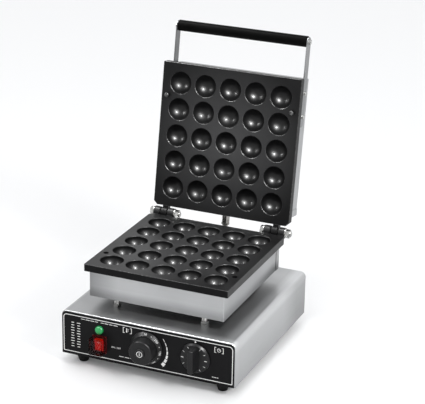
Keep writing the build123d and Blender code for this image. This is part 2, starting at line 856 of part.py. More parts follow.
# ---- cooking units: the functions below make the lower unit and the lid alike ----
casing_center = (casing_front + casing_hinge) / 2
casing_length = casing_hinge - casing_front
casing_corner = 1.6
lip_width = 3.0
lap_width = 11.5
lap_sheet = 0.8
tab_length = 13.0
tab_width = 12.0
tab_y = cup_pitch / 2
tab_screw_inset = 8.0
tab_screw_bite = 7.0
tab_points = [
    (sx * (casing_x - tab_screw_inset), sy * tab_y) for sx in (-1, 1) for sy in (-1, 1)
]
pin_y = -1.5 * cup_pitch
element_radius = 4.0
element_depth = plate_thickness + element_radius
element_overrun = 8.0
terminal_drop = 16.0
terminal_bend = 10.0
crossing_bend = 14.0
loop_slack = 0.1
clamp_rows = (-cup_pitch / 2, cup_pitch / 2)
clamp_xs = (-2 * cup_pitch, 0, 2 * cup_pitch)
clamp_thickness = 3.0
clamp_width = 12.0
clamp_overhang = 8.0
clamp_boss_radius = 4.5
clamp_screw_bite = 7.0
clamp_hole_spare = 1.0
clamp_points = [(x, y) for x in clamp_xs for y in clamp_rows]
clamp_seat = -element_depth - element_radius


# Hose union on the lid's hinge wall, and the arm screws through its side walls.
union_depth = 28.0
union_corner = 7.0
union_length = 27.5
union_ring = 2.5
union_thread = 12.0
union_tail = 5.0
union_shoulder = 1.0
hose_socket = 6.0
hose_fit = 0.1
arm_screw_reaches = (192.0, 231.0)


def union_plane(y):
    """Plane facing out of the lid's hinge wall at local y."""
    origin = lid_face.from_local_coords(Vector(0, y, -union_depth))
    return Plane(origin=origin, x_dir=lid_face.x_dir, z_dir=lid_face.y_dir)


def element_route():
    """Corner points of a heating element, in a unit's local frame."""
    half = cup_pitch / 2
    front = -(2 * cup_pitch + half)
    cross = 1.5 * cup_pitch
    rear = 2 * cup_pitch + element_overrun
    depth = -element_depth
    right_half = [
        (half, cross, depth),
        (half, front, depth),
        (3 * half, front, depth),
        (3 * half, rear, depth),
        (3 * half, rear, depth - terminal_drop),
    ]
    left_half = [(-x, y, z) for x, y, z in reversed(right_half)]
    return left_half + right_half


def element_radii():
    """Bend radii at the route's inner corners: terminal, loop, crossing and back."""
    loop = cup_pitch / 2 - loop_slack
    half_route = [terminal_bend, loop, loop, crossing_bend]
    return half_route + half_route[::-1]


def casing_pan(face):
    """Folded sheet pan under a plate, with a lip and screw tabs at its rim."""
    with BuildSketch(face.offset(-plate_thickness)) as shape:
        with Locations((0, casing_center)):
            RectangleRounded(2 * casing_x, casing_length, casing_corner)
    extrude(shape.sketch, amount=-casing_height)
    with BuildSketch(face.offset(-plate_thickness - casing_sheet)) as shape:
        with Locations((0, casing_center)):
            RectangleRounded(
                2 * casing_x - 2 * casing_sheet,
                casing_length - 2 * casing_sheet,
                casing_corner - casing_sheet,
            )
    extrude(shape.sketch, amount=-(casing_height - 2 * casing_sheet), mode=Mode.SUBTRACT)
    # The hinge-side wall is a separate fold whose flanges lap over the side walls.
    with BuildSketch(face.offset(-plate_thickness)) as shape:
        for side in (-1, 1):
            with Locations((side * (casing_x + lap_sheet / 2), casing_hinge - lap_width / 2)):
                Rectangle(lap_sheet, lap_width)
    extrude(shape.sketch, amount=-casing_height)
    with BuildSketch(face.offset(-plate_thickness)) as shape:
        with Locations((0, casing_center)):
            Rectangle(2 * casing_x - 2 * lip_width, casing_length - 2 * lip_width)
        with Locations(*[(sx * (casing_x - tab_length / 2), sy * tab_y)
                         for sx in (-1, 1) for sy in (-1, 1)]):
            Rectangle(tab_length, tab_width, mode=Mode.SUBTRACT)
        with Locations(*tab_points):
            Circle(m4 / 2 + hole_ease)
    extrude(shape.sketch, amount=-casing_sheet, mode=Mode.SUBTRACT)


def casing_screws(face):
    """Screws that hold a casing's tabs to its plate."""
    with BuildSketch(face.offset(-plate_thickness - casing_sheet)) as shape:
        with Locations(*tab_points):
            Circle(m4 / 2 - snug)
    extrude(shape.sketch, amount=casing_sheet + tab_screw_bite - tip_gap)
    with BuildSketch(face.offset(-plate_thickness - casing_sheet)) as shape:
        with Locations(*tab_points):
            Circle(m4)
    extrude(shape.sketch, amount=-m4_head_height)


def knuckle_arm(face, x):
    """One hinge knuckle centred on local x, with the arm that joins it to the plate."""
    radius = knuckle_diameter / 2
    edge = plate_side / 2
    straight_half = knuckle_length / 2 - knuckle_edge_break
    axis_spot = (hinge_offset, closed_gap / 2)
    with BuildSketch(side_plane(face, x - straight_half)) as shape:
        with BuildLine():
            Polyline(
                (edge - knuckle_root, 0),
                (hinge_offset, 0),
                (hinge_offset, closed_gap / 2 - radius + knuckle_edge_break),
                (edge - knuckle_root, -plate_thickness),
                close=True,
            )
        make_face()
    extrude(shape.sketch, amount=2 * straight_half)
    with BuildSketch(side_plane(face, x - straight_half)) as shape:
        with Locations(axis_spot):
            Circle(radius)
    extrude(shape.sketch, amount=2 * straight_half)
    for side in (-1, 1):
        with BuildSketch(side_plane(face, x + side * straight_half)) as shape:
            with Locations(axis_spot):
                Circle(radius)
        extrude(shape.sketch, amount=side * knuckle_edge_break, taper=45)
    with BuildSketch(side_plane(face, x - knuckle_length / 2)) as shape:
        with Locations(axis_spot):
            Circle(hinge_bolt_diameter / 2 + hinge_fit)
    extrude(shape.sketch, amount=knuckle_length, mode=Mode.SUBTRACT)


def stop_heel(x):
    """Cast heel on a lid knuckle that lands on the lower plate's edge when open."""
    edge_y = grill_y + plate_side / 2 + stop_gap
    straight_half = knuckle_length / 2 - knuckle_edge_break
    with BuildSketch(Plane(origin=(x - straight_half, 0, 0), x_dir=(0, 1, 0),
                           z_dir=(1, 0, 0))) as shape:
        with BuildLine():
            Polyline(
                (edge_y, plate_top - heel_margin),
                (edge_y, plate_top - plate_thickness + heel_margin),
                (hinge_y, hinge_z - knuckle_diameter / 2 + heel_rise),
                (hinge_y, hinge_z - hinge_bolt_diameter / 2 - heel_web),
                close=True,
            )
        make_face()
    extrude(shape.sketch, amount=2 * straight_half)


def hinge_xs(steps):
    """Knuckle centres: the given knuckle positions on both hinges."""
    step = knuckle_length + knuckle_gap
    return [side * hinge_spread + s * step for side in (-1, 1) for s in steps]


def cup_plate(face, label, steps, guide_pins):
    """One cooking plate, built on its cooking face."""
    with BuildPart(face) as plate:
        with BuildSketch(face.offset(-plate_thickness)):
            Rectangle(plate_side, plate_side)
        extrude(amount=plate_thickness)
        upright = plate.edges().filter_by(lambda e: abs(e.length - plate_thickness) < 0.01)
        hinge_side = [e for e in upright if face.to_local_coords(e.center()).Y > 0]
        free_side = [e for e in upright if face.to_local_coords(e.center()).Y < 0]
        chamfer(hinge_side, plate_corner_cut)
        fillet(free_side, plate_corner_radius)
        rim = plate.edges().filter_by(
            lambda e: abs(face.to_local_coords(e.center()).Z) < 0.01
        )
        chamfer(rim, plate_edge_break)
        for x in hinge_xs(steps):
            knuckle_arm(face, x)
            if guide_pins:
                stop_heel(x)
        with GridLocations(cup_pitch, cup_pitch, cup_count, cup_count):
            with Locations((0, 0, -(plate_thickness + boss_depth) / 2)):
                Cone(
                    boss_tip_radius,
                    boss_root_radius,
                    boss_depth - plate_thickness,
                )
        with BuildSketch(face.offset(clamp_seat)):
            with Locations(*clamp_points):
                Circle(clamp_boss_radius)
        extrude(amount=element_depth + element_radius - plate_thickness)
        with GridLocations(cup_pitch, cup_pitch, cup_count, cup_count):
            Sphere(cup_radius, mode=Mode.SUBTRACT)
            with Locations((0, 0, -cup_edge_break / 2)):
                Cone(
                    cup_radius,
                    cup_radius + cup_edge_break,
                    cup_edge_break,
                    mode=Mode.SUBTRACT,
                )
        if guide_pins:
            with BuildSketch(face):
                with Locations((-pin_x, pin_y), (pin_x, pin_y)):
                    Circle(pin_diameter / 2)
            extrude(amount=pin_height)
            tips = plate.edges().filter_by(GeomType.CIRCLE).filter_by(
                lambda e: abs(face.to_local_coords(e.center()).Z - pin_height) < 0.01
            )
            fillet(tips, pin_tip_radius)
        else:
            with BuildSketch(face):
                with Locations((-pin_x, pin_y), (pin_x, pin_y)):
                    Circle(pin_diameter / 2 + pin_clearance)
            extrude(amount=-pin_height - pin_hole_spare, mode=Mode.SUBTRACT)
        with BuildSketch(face.offset(-plate_thickness)):
            with Locations(*tab_points):
                Circle(m4 / 2)
        extrude(amount=tab_screw_bite, mode=Mode.SUBTRACT)
        with BuildSketch(face.offset(clamp_seat)):
            with Locations(*clamp_points):
                Circle(m4 / 2)
        extrude(amount=clamp_screw_bite + clamp_hole_spare, mode=Mode.SUBTRACT)
    finish(plate, label)


cup_plate(lower_face, "lower_plate", (-1, 1), False)
cup_plate(lid_face, "lid_plate", (0,), True)

for face, label in ((lower_face, "lower"), (lid_face, "lid")):
    with BuildPart() as casing:
        casing_pan(face)
        if label == "lower":
            with BuildSketch(face.offset(-plate_thickness - casing_height)):
                with Locations(*[(x, y - grill_y) for x, y in standoff_points]):
                    Circle(m6 / 2 + hole_ease)
                with Locations((0, duct_y - grill_y)):
                    Circle(duct_outer / 2 + hole_ease)
            extrude(amount=casing_sheet, mode=Mode.SUBTRACT)
        else:
            with BuildSketch(side_plane(face, -casing_x)):
                with Locations(*[(hinge_offset - v, -handle_depth) for v in arm_screw_reaches]):
                    Circle(m4 / 2 + hole_ease)
            extrude(amount=2 * casing_x, mode=Mode.SUBTRACT)
            with BuildSketch(union_plane(casing_hinge)):
                Circle(union_thread / 2 + hole_ease)
            extrude(amount=-casing_sheet, mode=Mode.SUBTRACT)
    finish(casing, f"{label}_casing")

    with BuildPart() as screws:
        casing_screws(face)
    finish(screws, f"{label}_casing_screws")

    # The element lies in the valleys between the cup bosses and loops round the
    # front cups; both ends turn away from the plate to their terminals.
    with BuildPart() as element:
        with BuildLine() as route:
            FilletPolyline(
                *[face.from_local_coords(Vector(*p)) for p in element_route()],
                radius=element_radii(),
            )
        with BuildSketch(Plane(origin=route.wires()[0] @ 0, z_dir=route.wires()[0] % 0)):
            Circle(element_radius)
        sweep()
    finish(element, f"{label}_heater")

    with BuildPart() as clamps:
        with BuildSketch(face.offset(clamp_seat)):
            with Locations(*[(0, y) for y in clamp_rows]):
                SlotOverall(4 * cup_pitch + 2 * clamp_overhang, clamp_width)
            with Locations(*clamp_points):
                Circle(m4 / 2 + hole_ease, mode=Mode.SUBTRACT)
        extrude(amount=-clamp_thickness)
    finish(clamps, f"{label}_heater_clamps")

    with BuildPart() as clamp_screws:
        with BuildSketch(face.offset(clamp_seat - clamp_thickness)):
            with Locations(*clamp_points):
                Circle(m4 / 2 - snug)
        extrude(amount=clamp_thickness + clamp_screw_bite)
        with BuildSketch(face.offset(clamp_seat - clamp_thickness)):
            with Locations(*clamp_points):
                Circle(m4)
        extrude(amount=-m4_head_height)
    finish(clamp_screws, f"{label}_clamp_screws")

# ---- hinge bolts with their washers and nuts ----
hinge_half = 1.5 * knuckle_length + knuckle_gap
washer_radius = 8.0
washer_thickness = 1.6
hinge_hex_corner = 7.5
hinge_head_height = 5.3
hinge_nut_height = 6.5
thread_stub = 2.0
hinge_left_ends = [side * hinge_spread - hinge_half for side in (-1, 1)]
hinge_right_ends = [side * hinge_spread + hinge_half for side in (-1, 1)]


def across(x):
    """Plane across the hinge axis at x, centred on the axis, facing +X."""
    return Plane(origin=(x, hinge_y, hinge_z), x_dir=(0, 1, 0), z_dir=(1, 0, 0))


with BuildPart() as hinge_bolts:
    for x in hinge_left_ends:
        with BuildSketch(across(x - washer_thickness - hinge_head_height)):
            RegularPolygon(hinge_hex_corner, 6)
        extrude(amount=hinge_head_height)
        with BuildSketch(across(x - washer_thickness)):
            Circle(hinge_bolt_diameter / 2)
        extrude(
            amount=2 * (hinge_half + washer_thickness) + hinge_nut_height + thread_stub
        )
finish(hinge_bolts, "hinge_bolts")

with BuildPart() as hinge_washers:
    for x in [end - washer_thickness for end in hinge_left_ends] + hinge_right_ends:
        with BuildSketch(across(x)):
            Circle(washer_radius)
            Circle(hinge_bolt_diameter / 2 + hole_ease, mode=Mode.SUBTRACT)
        extrude(amount=washer_thickness)
finish(hinge_washers, "hinge_washers")

with BuildPart() as hinge_nuts:
    for x in hinge_right_ends:
        with BuildSketch(across(x + washer_thickness)):
            RegularPolygon(hinge_hex_corner, 6)
            Circle(hinge_bolt_diameter / 2 + snug, mode=Mode.SUBTRACT)
        extrude(amount=hinge_nut_height)
finish(hinge_nuts, "hinge_nuts")

# ---- handle: two flat arms, a grip tube on a tie rod, slotted end screws ----
arm_outer = casing_x + arm_sheet
handle_spot = (hinge_offset - handle_reach, -handle_depth)
for side, label in ((1, "handle_arm_left"), (-1, "handle_arm_right")):
    with BuildPart() as arm:
        with BuildSketch(side_plane(lid_face, casing_x if side > 0 else -arm_outer)):
            with Locations((hinge_offset - (arm_start + handle_reach) / 2, -handle_depth)):
                SlotOverall(handle_reach - arm_start + arm_width, arm_width)
            with Locations(*[(hinge_offset - v, -handle_depth) for v in arm_screw_reaches]):
                Circle(m4 / 2 + hole_ease, mode=Mode.SUBTRACT)
            with Locations(handle_spot):
                Circle(m5 / 2 + hole_ease, mode=Mode.SUBTRACT)
        extrude(amount=arm_sheet)
        long_edges = arm.edges().filter_by(lambda e: e.length > arm_sheet + 1)
        chamfer(long_edges, arm_edge_break)
    finish(arm, label)

rod_half = casing_x
with BuildPart() as handle_rod:
    with BuildSketch(side_plane(lid_face, -rod_half)):
        with Locations(handle_spot):
            Circle(rod_diameter / 2)
            Circle(m5 / 2 + snug, mode=Mode.SUBTRACT)
    extrude(amount=2 * rod_half)
finish(handle_rod, "handle_rod")

grip_half = casing_x - grip_end_gap
with BuildPart() as handle_grip:
    with BuildSketch(side_plane(lid_face, -grip_half)):
        with Locations(handle_spot):
            Circle(grip_diameter / 2)
            Circle(rod_diameter / 2 + hole_ease, mode=Mode.SUBTRACT)
    extrude(amount=2 * grip_half)
    grip_ends = handle_grip.edges().filter_by(GeomType.CIRCLE)
    chamfer(grip_ends.filter_by(lambda e: e.radius > rod_diameter), grip_edge_break)
finish(handle_grip, "handle_grip")

end_screw_head_height = 2.8
end_screw_taper = 12.0
end_screw_grip = 12.0
driver_slot_width = 1.4
driver_slot_floor = 1.6
arm_screw_tail = 5.0
arm_screw_head_height = 2.2
arm_screw_taper = 15.0
arm_nut_corner = 4.0
arm_nut_height = 3.2
with BuildPart() as handle_screws:
    for side in (-1, 1):
        with BuildSketch(side_plane(lid_face, side * arm_outer)):
            with Locations(handle_spot):
                Circle(m5 / 2)
        extrude(amount=-side * (arm_sheet + end_screw_grip))
        with BuildSketch(side_plane(lid_face, side * arm_outer)):
            with Locations(handle_spot):
                Circle(m5_head_width / 2)
        extrude(amount=side * end_screw_head_height, taper=end_screw_taper)
        with BuildSketch(side_plane(lid_face, side * (arm_outer + driver_slot_floor))):
            with Locations(handle_spot):
                Rectangle(driver_slot_width, m5_head_width)
        extrude(amount=side * end_screw_head_height, mode=Mode.SUBTRACT)
finish(handle_screws, "handle_screws")

with BuildPart() as arm_screws:
    for side in (-1, 1):
        for reach in arm_screw_reaches:
            with BuildSketch(side_plane(lid_face, side * arm_outer)):
                with Locations((hinge_offset - reach, -handle_depth)):
                    Circle(m4 / 2)
            extrude(amount=-side * (arm_sheet + casing_sheet + arm_screw_tail))
            with BuildSketch(side_plane(lid_face, side * arm_outer)):
                with Locations((hinge_offset - reach, -handle_depth)):
                    Circle(m4)
            extrude(amount=side * arm_screw_head_height, taper=arm_screw_taper)
finish(arm_screws, "arm_screws")

with BuildPart() as arm_nuts:
    for side in (-1, 1):
        for reach in arm_screw_reaches:
            with BuildSketch(side_plane(lid_face, side * (casing_x - casing_sheet))):
                with Locations((hinge_offset - reach, -handle_depth)):
                    RegularPolygon(arm_nut_corner, 6)
                    Circle(m4 / 2 + snug, mode=Mode.SUBTRACT)
            extrude(amount=-side * arm_nut_height)
finish(arm_nuts, "arm_nuts")

# ---- metal hose that carries the lid's wires, its union and its bush ----
with BuildPart() as hose_union:
    with BuildSketch(union_plane(casing_hinge)):
        RegularPolygon(union_corner, 6)
    extrude(amount=union_length)
    with BuildSketch(union_plane(casing_hinge + union_length)):
        Circle(union_corner)
    extrude(amount=union_ring)
    with BuildSketch(union_plane(casing_hinge - casing_sheet - union_tail)):
        Circle(union_thread / 2)
    extrude(amount=casing_sheet + union_tail)
    with BuildSketch(union_plane(casing_hinge - casing_sheet - union_tail)):
        Circle(hose_radius - union_shoulder)
    wire_way = casing_sheet + union_tail + union_length + union_ring - hose_socket
    extrude(amount=wire_way, mode=Mode.SUBTRACT)
    with BuildSketch(union_plane(casing_hinge + union_length + union_ring)):
        Circle(hose_radius + hose_fit)
    extrude(amount=-hose_socket, mode=Mode.SUBTRACT)
finish(hose_union, "hose_union")

bush_ease = 0.4
bush_bore = hose_radius + bush_ease
bush_flange_thickness = 3.0
bush_tail = 3.0
with BuildPart() as hose_bush:
    with BuildSketch(Plane.XY.offset(box_top)):
        with Locations((0, hose_y)):
            Circle(bush_flange_radius)
            Circle(bush_bore, mode=Mode.SUBTRACT)
    extrude(amount=bush_flange_thickness)
    with BuildSketch(Plane.XY.offset(box_top)):
        with Locations((0, hose_y)):
            Circle(bush_outer_radius)
            Circle(bush_bore, mode=Mode.SUBTRACT)
    extrude(amount=-box_sheet - bush_tail)
finish(hose_bush, "hose_bush")

hose_end_gap = 0.2
hose_top_run = 20.0
hose_bottom_run = 16.0
hose_tail = 4.0
hose_top = union_plane(casing_hinge + union_length + union_ring - hose_socket + hose_end_gap)
hose_route = [
    hose_top.origin,
    hose_top.from_local_coords(Vector(0, 0, hose_top_run)),
    Vector(0, hose_y, box_top + hose_bottom_run),
    Vector(0, hose_y, box_top - hose_tail),
]


def bend_radii(points, share=0.45):
    """Radius of each bend, as large as its two runs allow."""
    radii = []
    for before, corner, after in zip(points, points[1:], points[2:]):
        arriving = corner - before
        leaving = after - corner
        turn = math.radians(arriving.get_angle(leaving))
        run = min(arriving.length, leaving.length)
        radii.append(share * run / math.tan(turn / 2))
    return radii


with BuildPart() as hose:
    with BuildLine() as hose_line:
        FilletPolyline(*hose_route, radius=bend_radii(hose_route))
    with BuildSketch(Plane(origin=hose_line.wires()[0] @ 0, z_dir=hose_line.wires()[0] % 0)):
        Circle(hose_radius)
    sweep()
finish(hose, "hose")
print("hose radii", [round(r, 1) for r in bend_radii(hose_route)])
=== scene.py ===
import math
import bpy
from mathutils import Matrix, Vector


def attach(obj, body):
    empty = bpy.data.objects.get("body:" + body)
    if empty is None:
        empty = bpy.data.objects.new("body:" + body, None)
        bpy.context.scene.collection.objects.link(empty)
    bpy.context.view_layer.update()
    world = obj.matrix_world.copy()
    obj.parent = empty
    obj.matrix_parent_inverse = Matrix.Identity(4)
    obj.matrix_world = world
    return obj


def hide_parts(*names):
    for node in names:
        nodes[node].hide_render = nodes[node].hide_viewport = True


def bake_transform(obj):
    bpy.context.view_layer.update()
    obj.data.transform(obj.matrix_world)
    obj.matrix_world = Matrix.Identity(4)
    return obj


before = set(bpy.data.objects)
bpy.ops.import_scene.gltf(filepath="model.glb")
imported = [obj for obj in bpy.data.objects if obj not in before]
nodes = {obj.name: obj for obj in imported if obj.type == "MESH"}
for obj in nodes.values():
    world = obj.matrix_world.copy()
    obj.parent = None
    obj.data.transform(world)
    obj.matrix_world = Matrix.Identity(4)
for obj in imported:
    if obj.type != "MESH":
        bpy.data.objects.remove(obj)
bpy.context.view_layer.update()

print("frame loaded:", len(nodes), "nodes")

# camera

cameraSet = {
    "place": (0.999119, -2.30412, 1.204715),
    "azimuth": 22.763,  # degrees round from the front
    "elevation": 21.029,
    "roll": 1.148,
    "lens": 141.08,
    "sensor": 36,
    "clip": (0.1, 50),
}


def outward(azimuth, elevation):
    a, e = math.radians(azimuth), math.radians(elevation)
    return Vector((math.sin(a) * math.cos(e), -math.cos(a) * math.cos(e), math.sin(e)))


def makeCamera():
    r = math.radians(cameraSet["roll"])
    back = outward(cameraSet["azimuth"], cameraSet["elevation"])
    right = (-back).cross(Vector((0, 0, 1))).normalized()
    up = right.cross(-back)
    turnedRight = right * math.cos(r) + up * math.sin(r)
    turnedUp = up * math.cos(r) - right * math.sin(r)
    data = bpy.data.cameras.new("camera")
    data.lens = cameraSet["lens"]
    data.sensor_width = cameraSet["sensor"]
    data.clip_start, data.clip_end = cameraSet["clip"]
    camera = bpy.data.objects.new("camera", data)
    bpy.context.scene.collection.objects.link(camera)
    turn = Matrix((turnedRight, turnedUp, back)).transposed().to_4x4()
    camera.matrix_world = Matrix.Translation(cameraSet["place"]) @ turn
    bpy.context.scene.camera = camera


makeCamera()

# floor, world and lights

lightSet = {
    "aim": Vector((0, 0, 0.22)),
    "world": 1.0,
    "horizon": (1.0, 1.0, 1.0, 1),
    "zenith": (0.93, 0.94, 0.96, 1),
    "softboxes": (  # name, azimuth, elevation, distance, width, height, power, shine only
        ("keyLight", 66.5, 33, 2.2, 0.42, 0.42, 16, False),
        ("fillLight", -57, 38, 2.4, 0.42, 0.42, 4, False),
        ("keyShine", 55, 50, 2.1, 0.3, 0.3, 110, True),
        ("fillShine", -57, 38, 2.3, 0.3, 0.3, 22, True),
        ("rimShine", -100, 56, 2.0, 0.5, 1.3, 70, True),
    ),
}


def makeWorld():
    world = bpy.data.worlds.new("studio")
    bpy.context.scene.world = world
    world.use_nodes = True
    tree = world.node_tree
    shade = tree.nodes["Background"]
    where = tree.nodes.new("ShaderNodeTexCoord")
    split = tree.nodes.new("ShaderNodeSeparateXYZ")
    ramp = tree.nodes.new("ShaderNodeValToRGB")
    tree.links.new(where.outputs["Generated"], split.inputs[0])
    tree.links.new(split.outputs["Z"], ramp.inputs[0])
    tree.links.new(ramp.outputs[0], shade.inputs["Color"])
    ramp.color_ramp.elements[0].color = lightSet["horizon"]
    ramp.color_ramp.elements[1].color = lightSet["zenith"]
    shade.inputs["Strength"].default_value = lightSet["world"]


def makeSoftbox(name, azimuth, elevation, distance, width, height, power, shineOnly):
    out = outward(azimuth, elevation)
    data = bpy.data.lights.new(name, "AREA")
    data.shape = "RECTANGLE"
    data.size = width
    data.size_y = height
    data.energy = power
    lamp = bpy.data.objects.new(name, data)
    bpy.context.scene.collection.objects.link(lamp)
    lamp.location = lightSet["aim"] + out * distance
    lamp.rotation_euler = (-out).to_track_quat("-Z", "Y").to_euler()
    lamp.visible_diffuse = not shineOnly


floorSet = {
    "radius": 9,
    "sides": 64,
    "color": (0.93, 0.93, 0.93, 1),
    "rough": 0.7,
}


def makeFloor():
    bpy.ops.object.select_all(action="DESELECT")
    bpy.ops.mesh.primitive_circle_add(vertices=floorSet["sides"], radius=floorSet["radius"],
                                      fill_type="NGON")
    floor = bpy.context.active_object
    floor.name = "floor"
    mat = bpy.data.materials.new("paleFloor")
    mat.use_nodes = True
    shade = mat.node_tree.nodes["Principled BSDF"]
    shade.inputs["Base Color"].default_value = floorSet["color"]
    shade.inputs["Roughness"].default_value = floorSet["rough"]
    floor.data.materials.append(mat)


makeWorld()
for box in lightSet["softboxes"]:
    makeSoftbox(*box)
makeFloor()
bpy.context.scene.view_settings.view_transform = "Standard"
print("camera, floor and lights made")

# materials


def newMaterial(name):
    mat = bpy.data.materials.new(name)
    mat.use_nodes = True
    tree = mat.node_tree
    return mat, tree, tree.nodes["Principled BSDF"]


def addNode(tree, kind, place=(0, 0), **sets):
    node = tree.nodes.new("ShaderNode" + kind)
    node.location = place
    for key, value in sets.items():
        if hasattr(node, key):
            setattr(node, key, value)
        else:
            node.inputs[key.replace("_", " ")].default_value = value
    return node


def objectPoint(tree, scale=(1, 1, 1), turn=(0, 0, 0), shift=(0, 0, 0)):
    where = addNode(tree, "TexCoord", (-1400, 0))
    mapping = addNode(tree, "Mapping", (-1200, 0))
    mapping.inputs["Scale"].default_value = scale
    mapping.inputs["Rotation"].default_value = turn
    mapping.inputs["Location"].default_value = shift
    tree.links.new(where.outputs["Object"], mapping.inputs["Vector"])
    return mapping.outputs[0]


def noise(tree, vector, scale, detail=3.0, rough=0.5):
    node = addNode(tree, "TexNoise", (-1000, 0), Scale=scale, Detail=detail, Roughness=rough)
    tree.links.new(vector, node.inputs["Vector"])
    return node.outputs[0]


def spread(tree, value, low, high, start=0.3, end=0.7):
    node = addNode(tree, "MapRange", (-700, 0))
    for key, number in (("From Min", start), ("From Max", end), ("To Min", low), ("To Max", high)):
        node.inputs[key].default_value = number
    tree.links.new(value, node.inputs["Value"])
    return node.outputs[0]


def mixColors(tree, factor, first, second):
    node = addNode(tree, "MixRGB", (-450, 200))
    for socket, value in zip(node.inputs[1:], (first, second)):
        if isinstance(value, tuple):
            socket.default_value = (*value, 1)
        else:
            tree.links.new(value, socket)
    tree.links.new(factor, node.inputs[0])
    return node.outputs[0]


def combine(tree, how, first, second=0):
    node = addNode(tree, "Math", (-500, -100), operation=how)
    for socket, value in zip(node.inputs, (first, second)):
        if isinstance(value, (int, float)):
            socket.default_value = value
        else:
            tree.links.new(value, socket)
    return node.outputs[0]


def addBump(tree, shade, height, strength, distance, under=None):
    node = addNode(tree, "Bump", (-250, -300), Strength=strength, Distance=distance)
    tree.links.new(height, node.inputs["Height"])
    if under:
        tree.links.new(under, node.inputs["Normal"])
    tree.links.new(node.outputs[0], shade.inputs["Normal"])
    return node.outputs[0]


def paintedLightField(tree, paintedLightZones):
    # painted shade and painted reflections: broad darker and paler areas of a sheet, a strength,
    # then the ramps that bound it
    split = addNode(tree, "SeparateXYZ", (-1200, 500))
    tree.links.new(objectPoint(tree), split.inputs[0])
    field = 1
    for strength, *ramps in paintedLightZones:
        mask = strength - 1
        for axis, start, end in ramps:
            ramp = spread(tree, split.outputs[axis], 0, 1, start, end)
            mask = combine(tree, "MULTIPLY", ramp, mask)
        field = combine(tree, "MULTIPLY", combine(tree, "ADD", mask, 1), field)
    return field


grainSet = {
    "cloudDetail": 4,
    "grainDetail": 2,
    "grainRough": 0.6,
    "streakDetail": 5,
    "streakRough": 0.65,
    "streakMix": 0.22,
    "smearScale": 2.3,  # against the cloud's
    "smearDetail": 5,
    "smearRange": (0.5, 0.7),
}


plainFinish = {  # what a finish has unless it says otherwise
    "stretch": (1, 1, 1),
    "turn": (0, 0, 0),
    "smear": 0.05,
    "metal": 0,
    "ior": 1.45,
    "gloss": 0.5,
    "coat": 0,
    "coatRough": 0.1,
    "clear": 0,
}


def surface(name, s):
    # clouded colour, fine grain in roughness and bump, and smears in the roughness
    s = {**plainFinish, **s}
    g = grainSet
    mat, tree, shade = newMaterial(name)
    plain = objectPoint(tree)
    grained = objectPoint(tree, s["stretch"], s["turn"])
    cloud = noise(tree, plain, s["cloud"], g["cloudDetail"])
    grain = noise(tree, grained, s["grain"], g["grainDetail"], g["grainRough"])
    tint = mixColors(tree, spread(tree, cloud, 0, 1), s["color"], s["colorTwo"])
    if "streak" in s:
        streaks = noise(tree, grained, s["streak"], g["streakDetail"], g["streakRough"])
        streaks = spread(tree, streaks, 0, g["streakMix"])
        tint = mixColors(tree, streaks, tint, s["streakColor"])
    # painted shade and painted reflections scale the colour by area
    if "paintedLightZones" in s:
        scaled = addNode(tree, "VectorMath", (-350, 300), operation="SCALE")
        tree.links.new(tint, scaled.inputs[0])
        tree.links.new(paintedLightField(tree, s["paintedLightZones"]), scaled.inputs["Scale"])
        tint = scaled.outputs[0]
    low, high = s["rough"]
    dull = spread(tree, grain, low, high)
    smear = noise(tree, plain, s["cloud"] * g["smearScale"], g["smearDetail"])
    smear = spread(tree, smear, 0, s["smear"], *g["smearRange"])
    tree.links.new(tint, shade.inputs["Base Color"])
    tree.links.new(combine(tree, "ADD", dull, smear), shade.inputs["Roughness"])
    bump = addBump(tree, shade, grain, s["bump"], s["bumpDepth"])
    for socket, key in (("Metallic", "metal"), ("IOR", "ior"), ("Specular IOR Level", "gloss"),
                        ("Coat Weight", "coat"), ("Coat Roughness", "coatRough"),
                        ("Transmission Weight", "clear")):
        shade.inputs[socket].default_value = s[key]
    if "glow" in s:
        shade.inputs["Emission Color"].default_value = (*s["glow"], 1)
        shade.inputs["Emission Strength"].default_value = s["glowStrength"]
    return mat, tree, shade, tint, bump


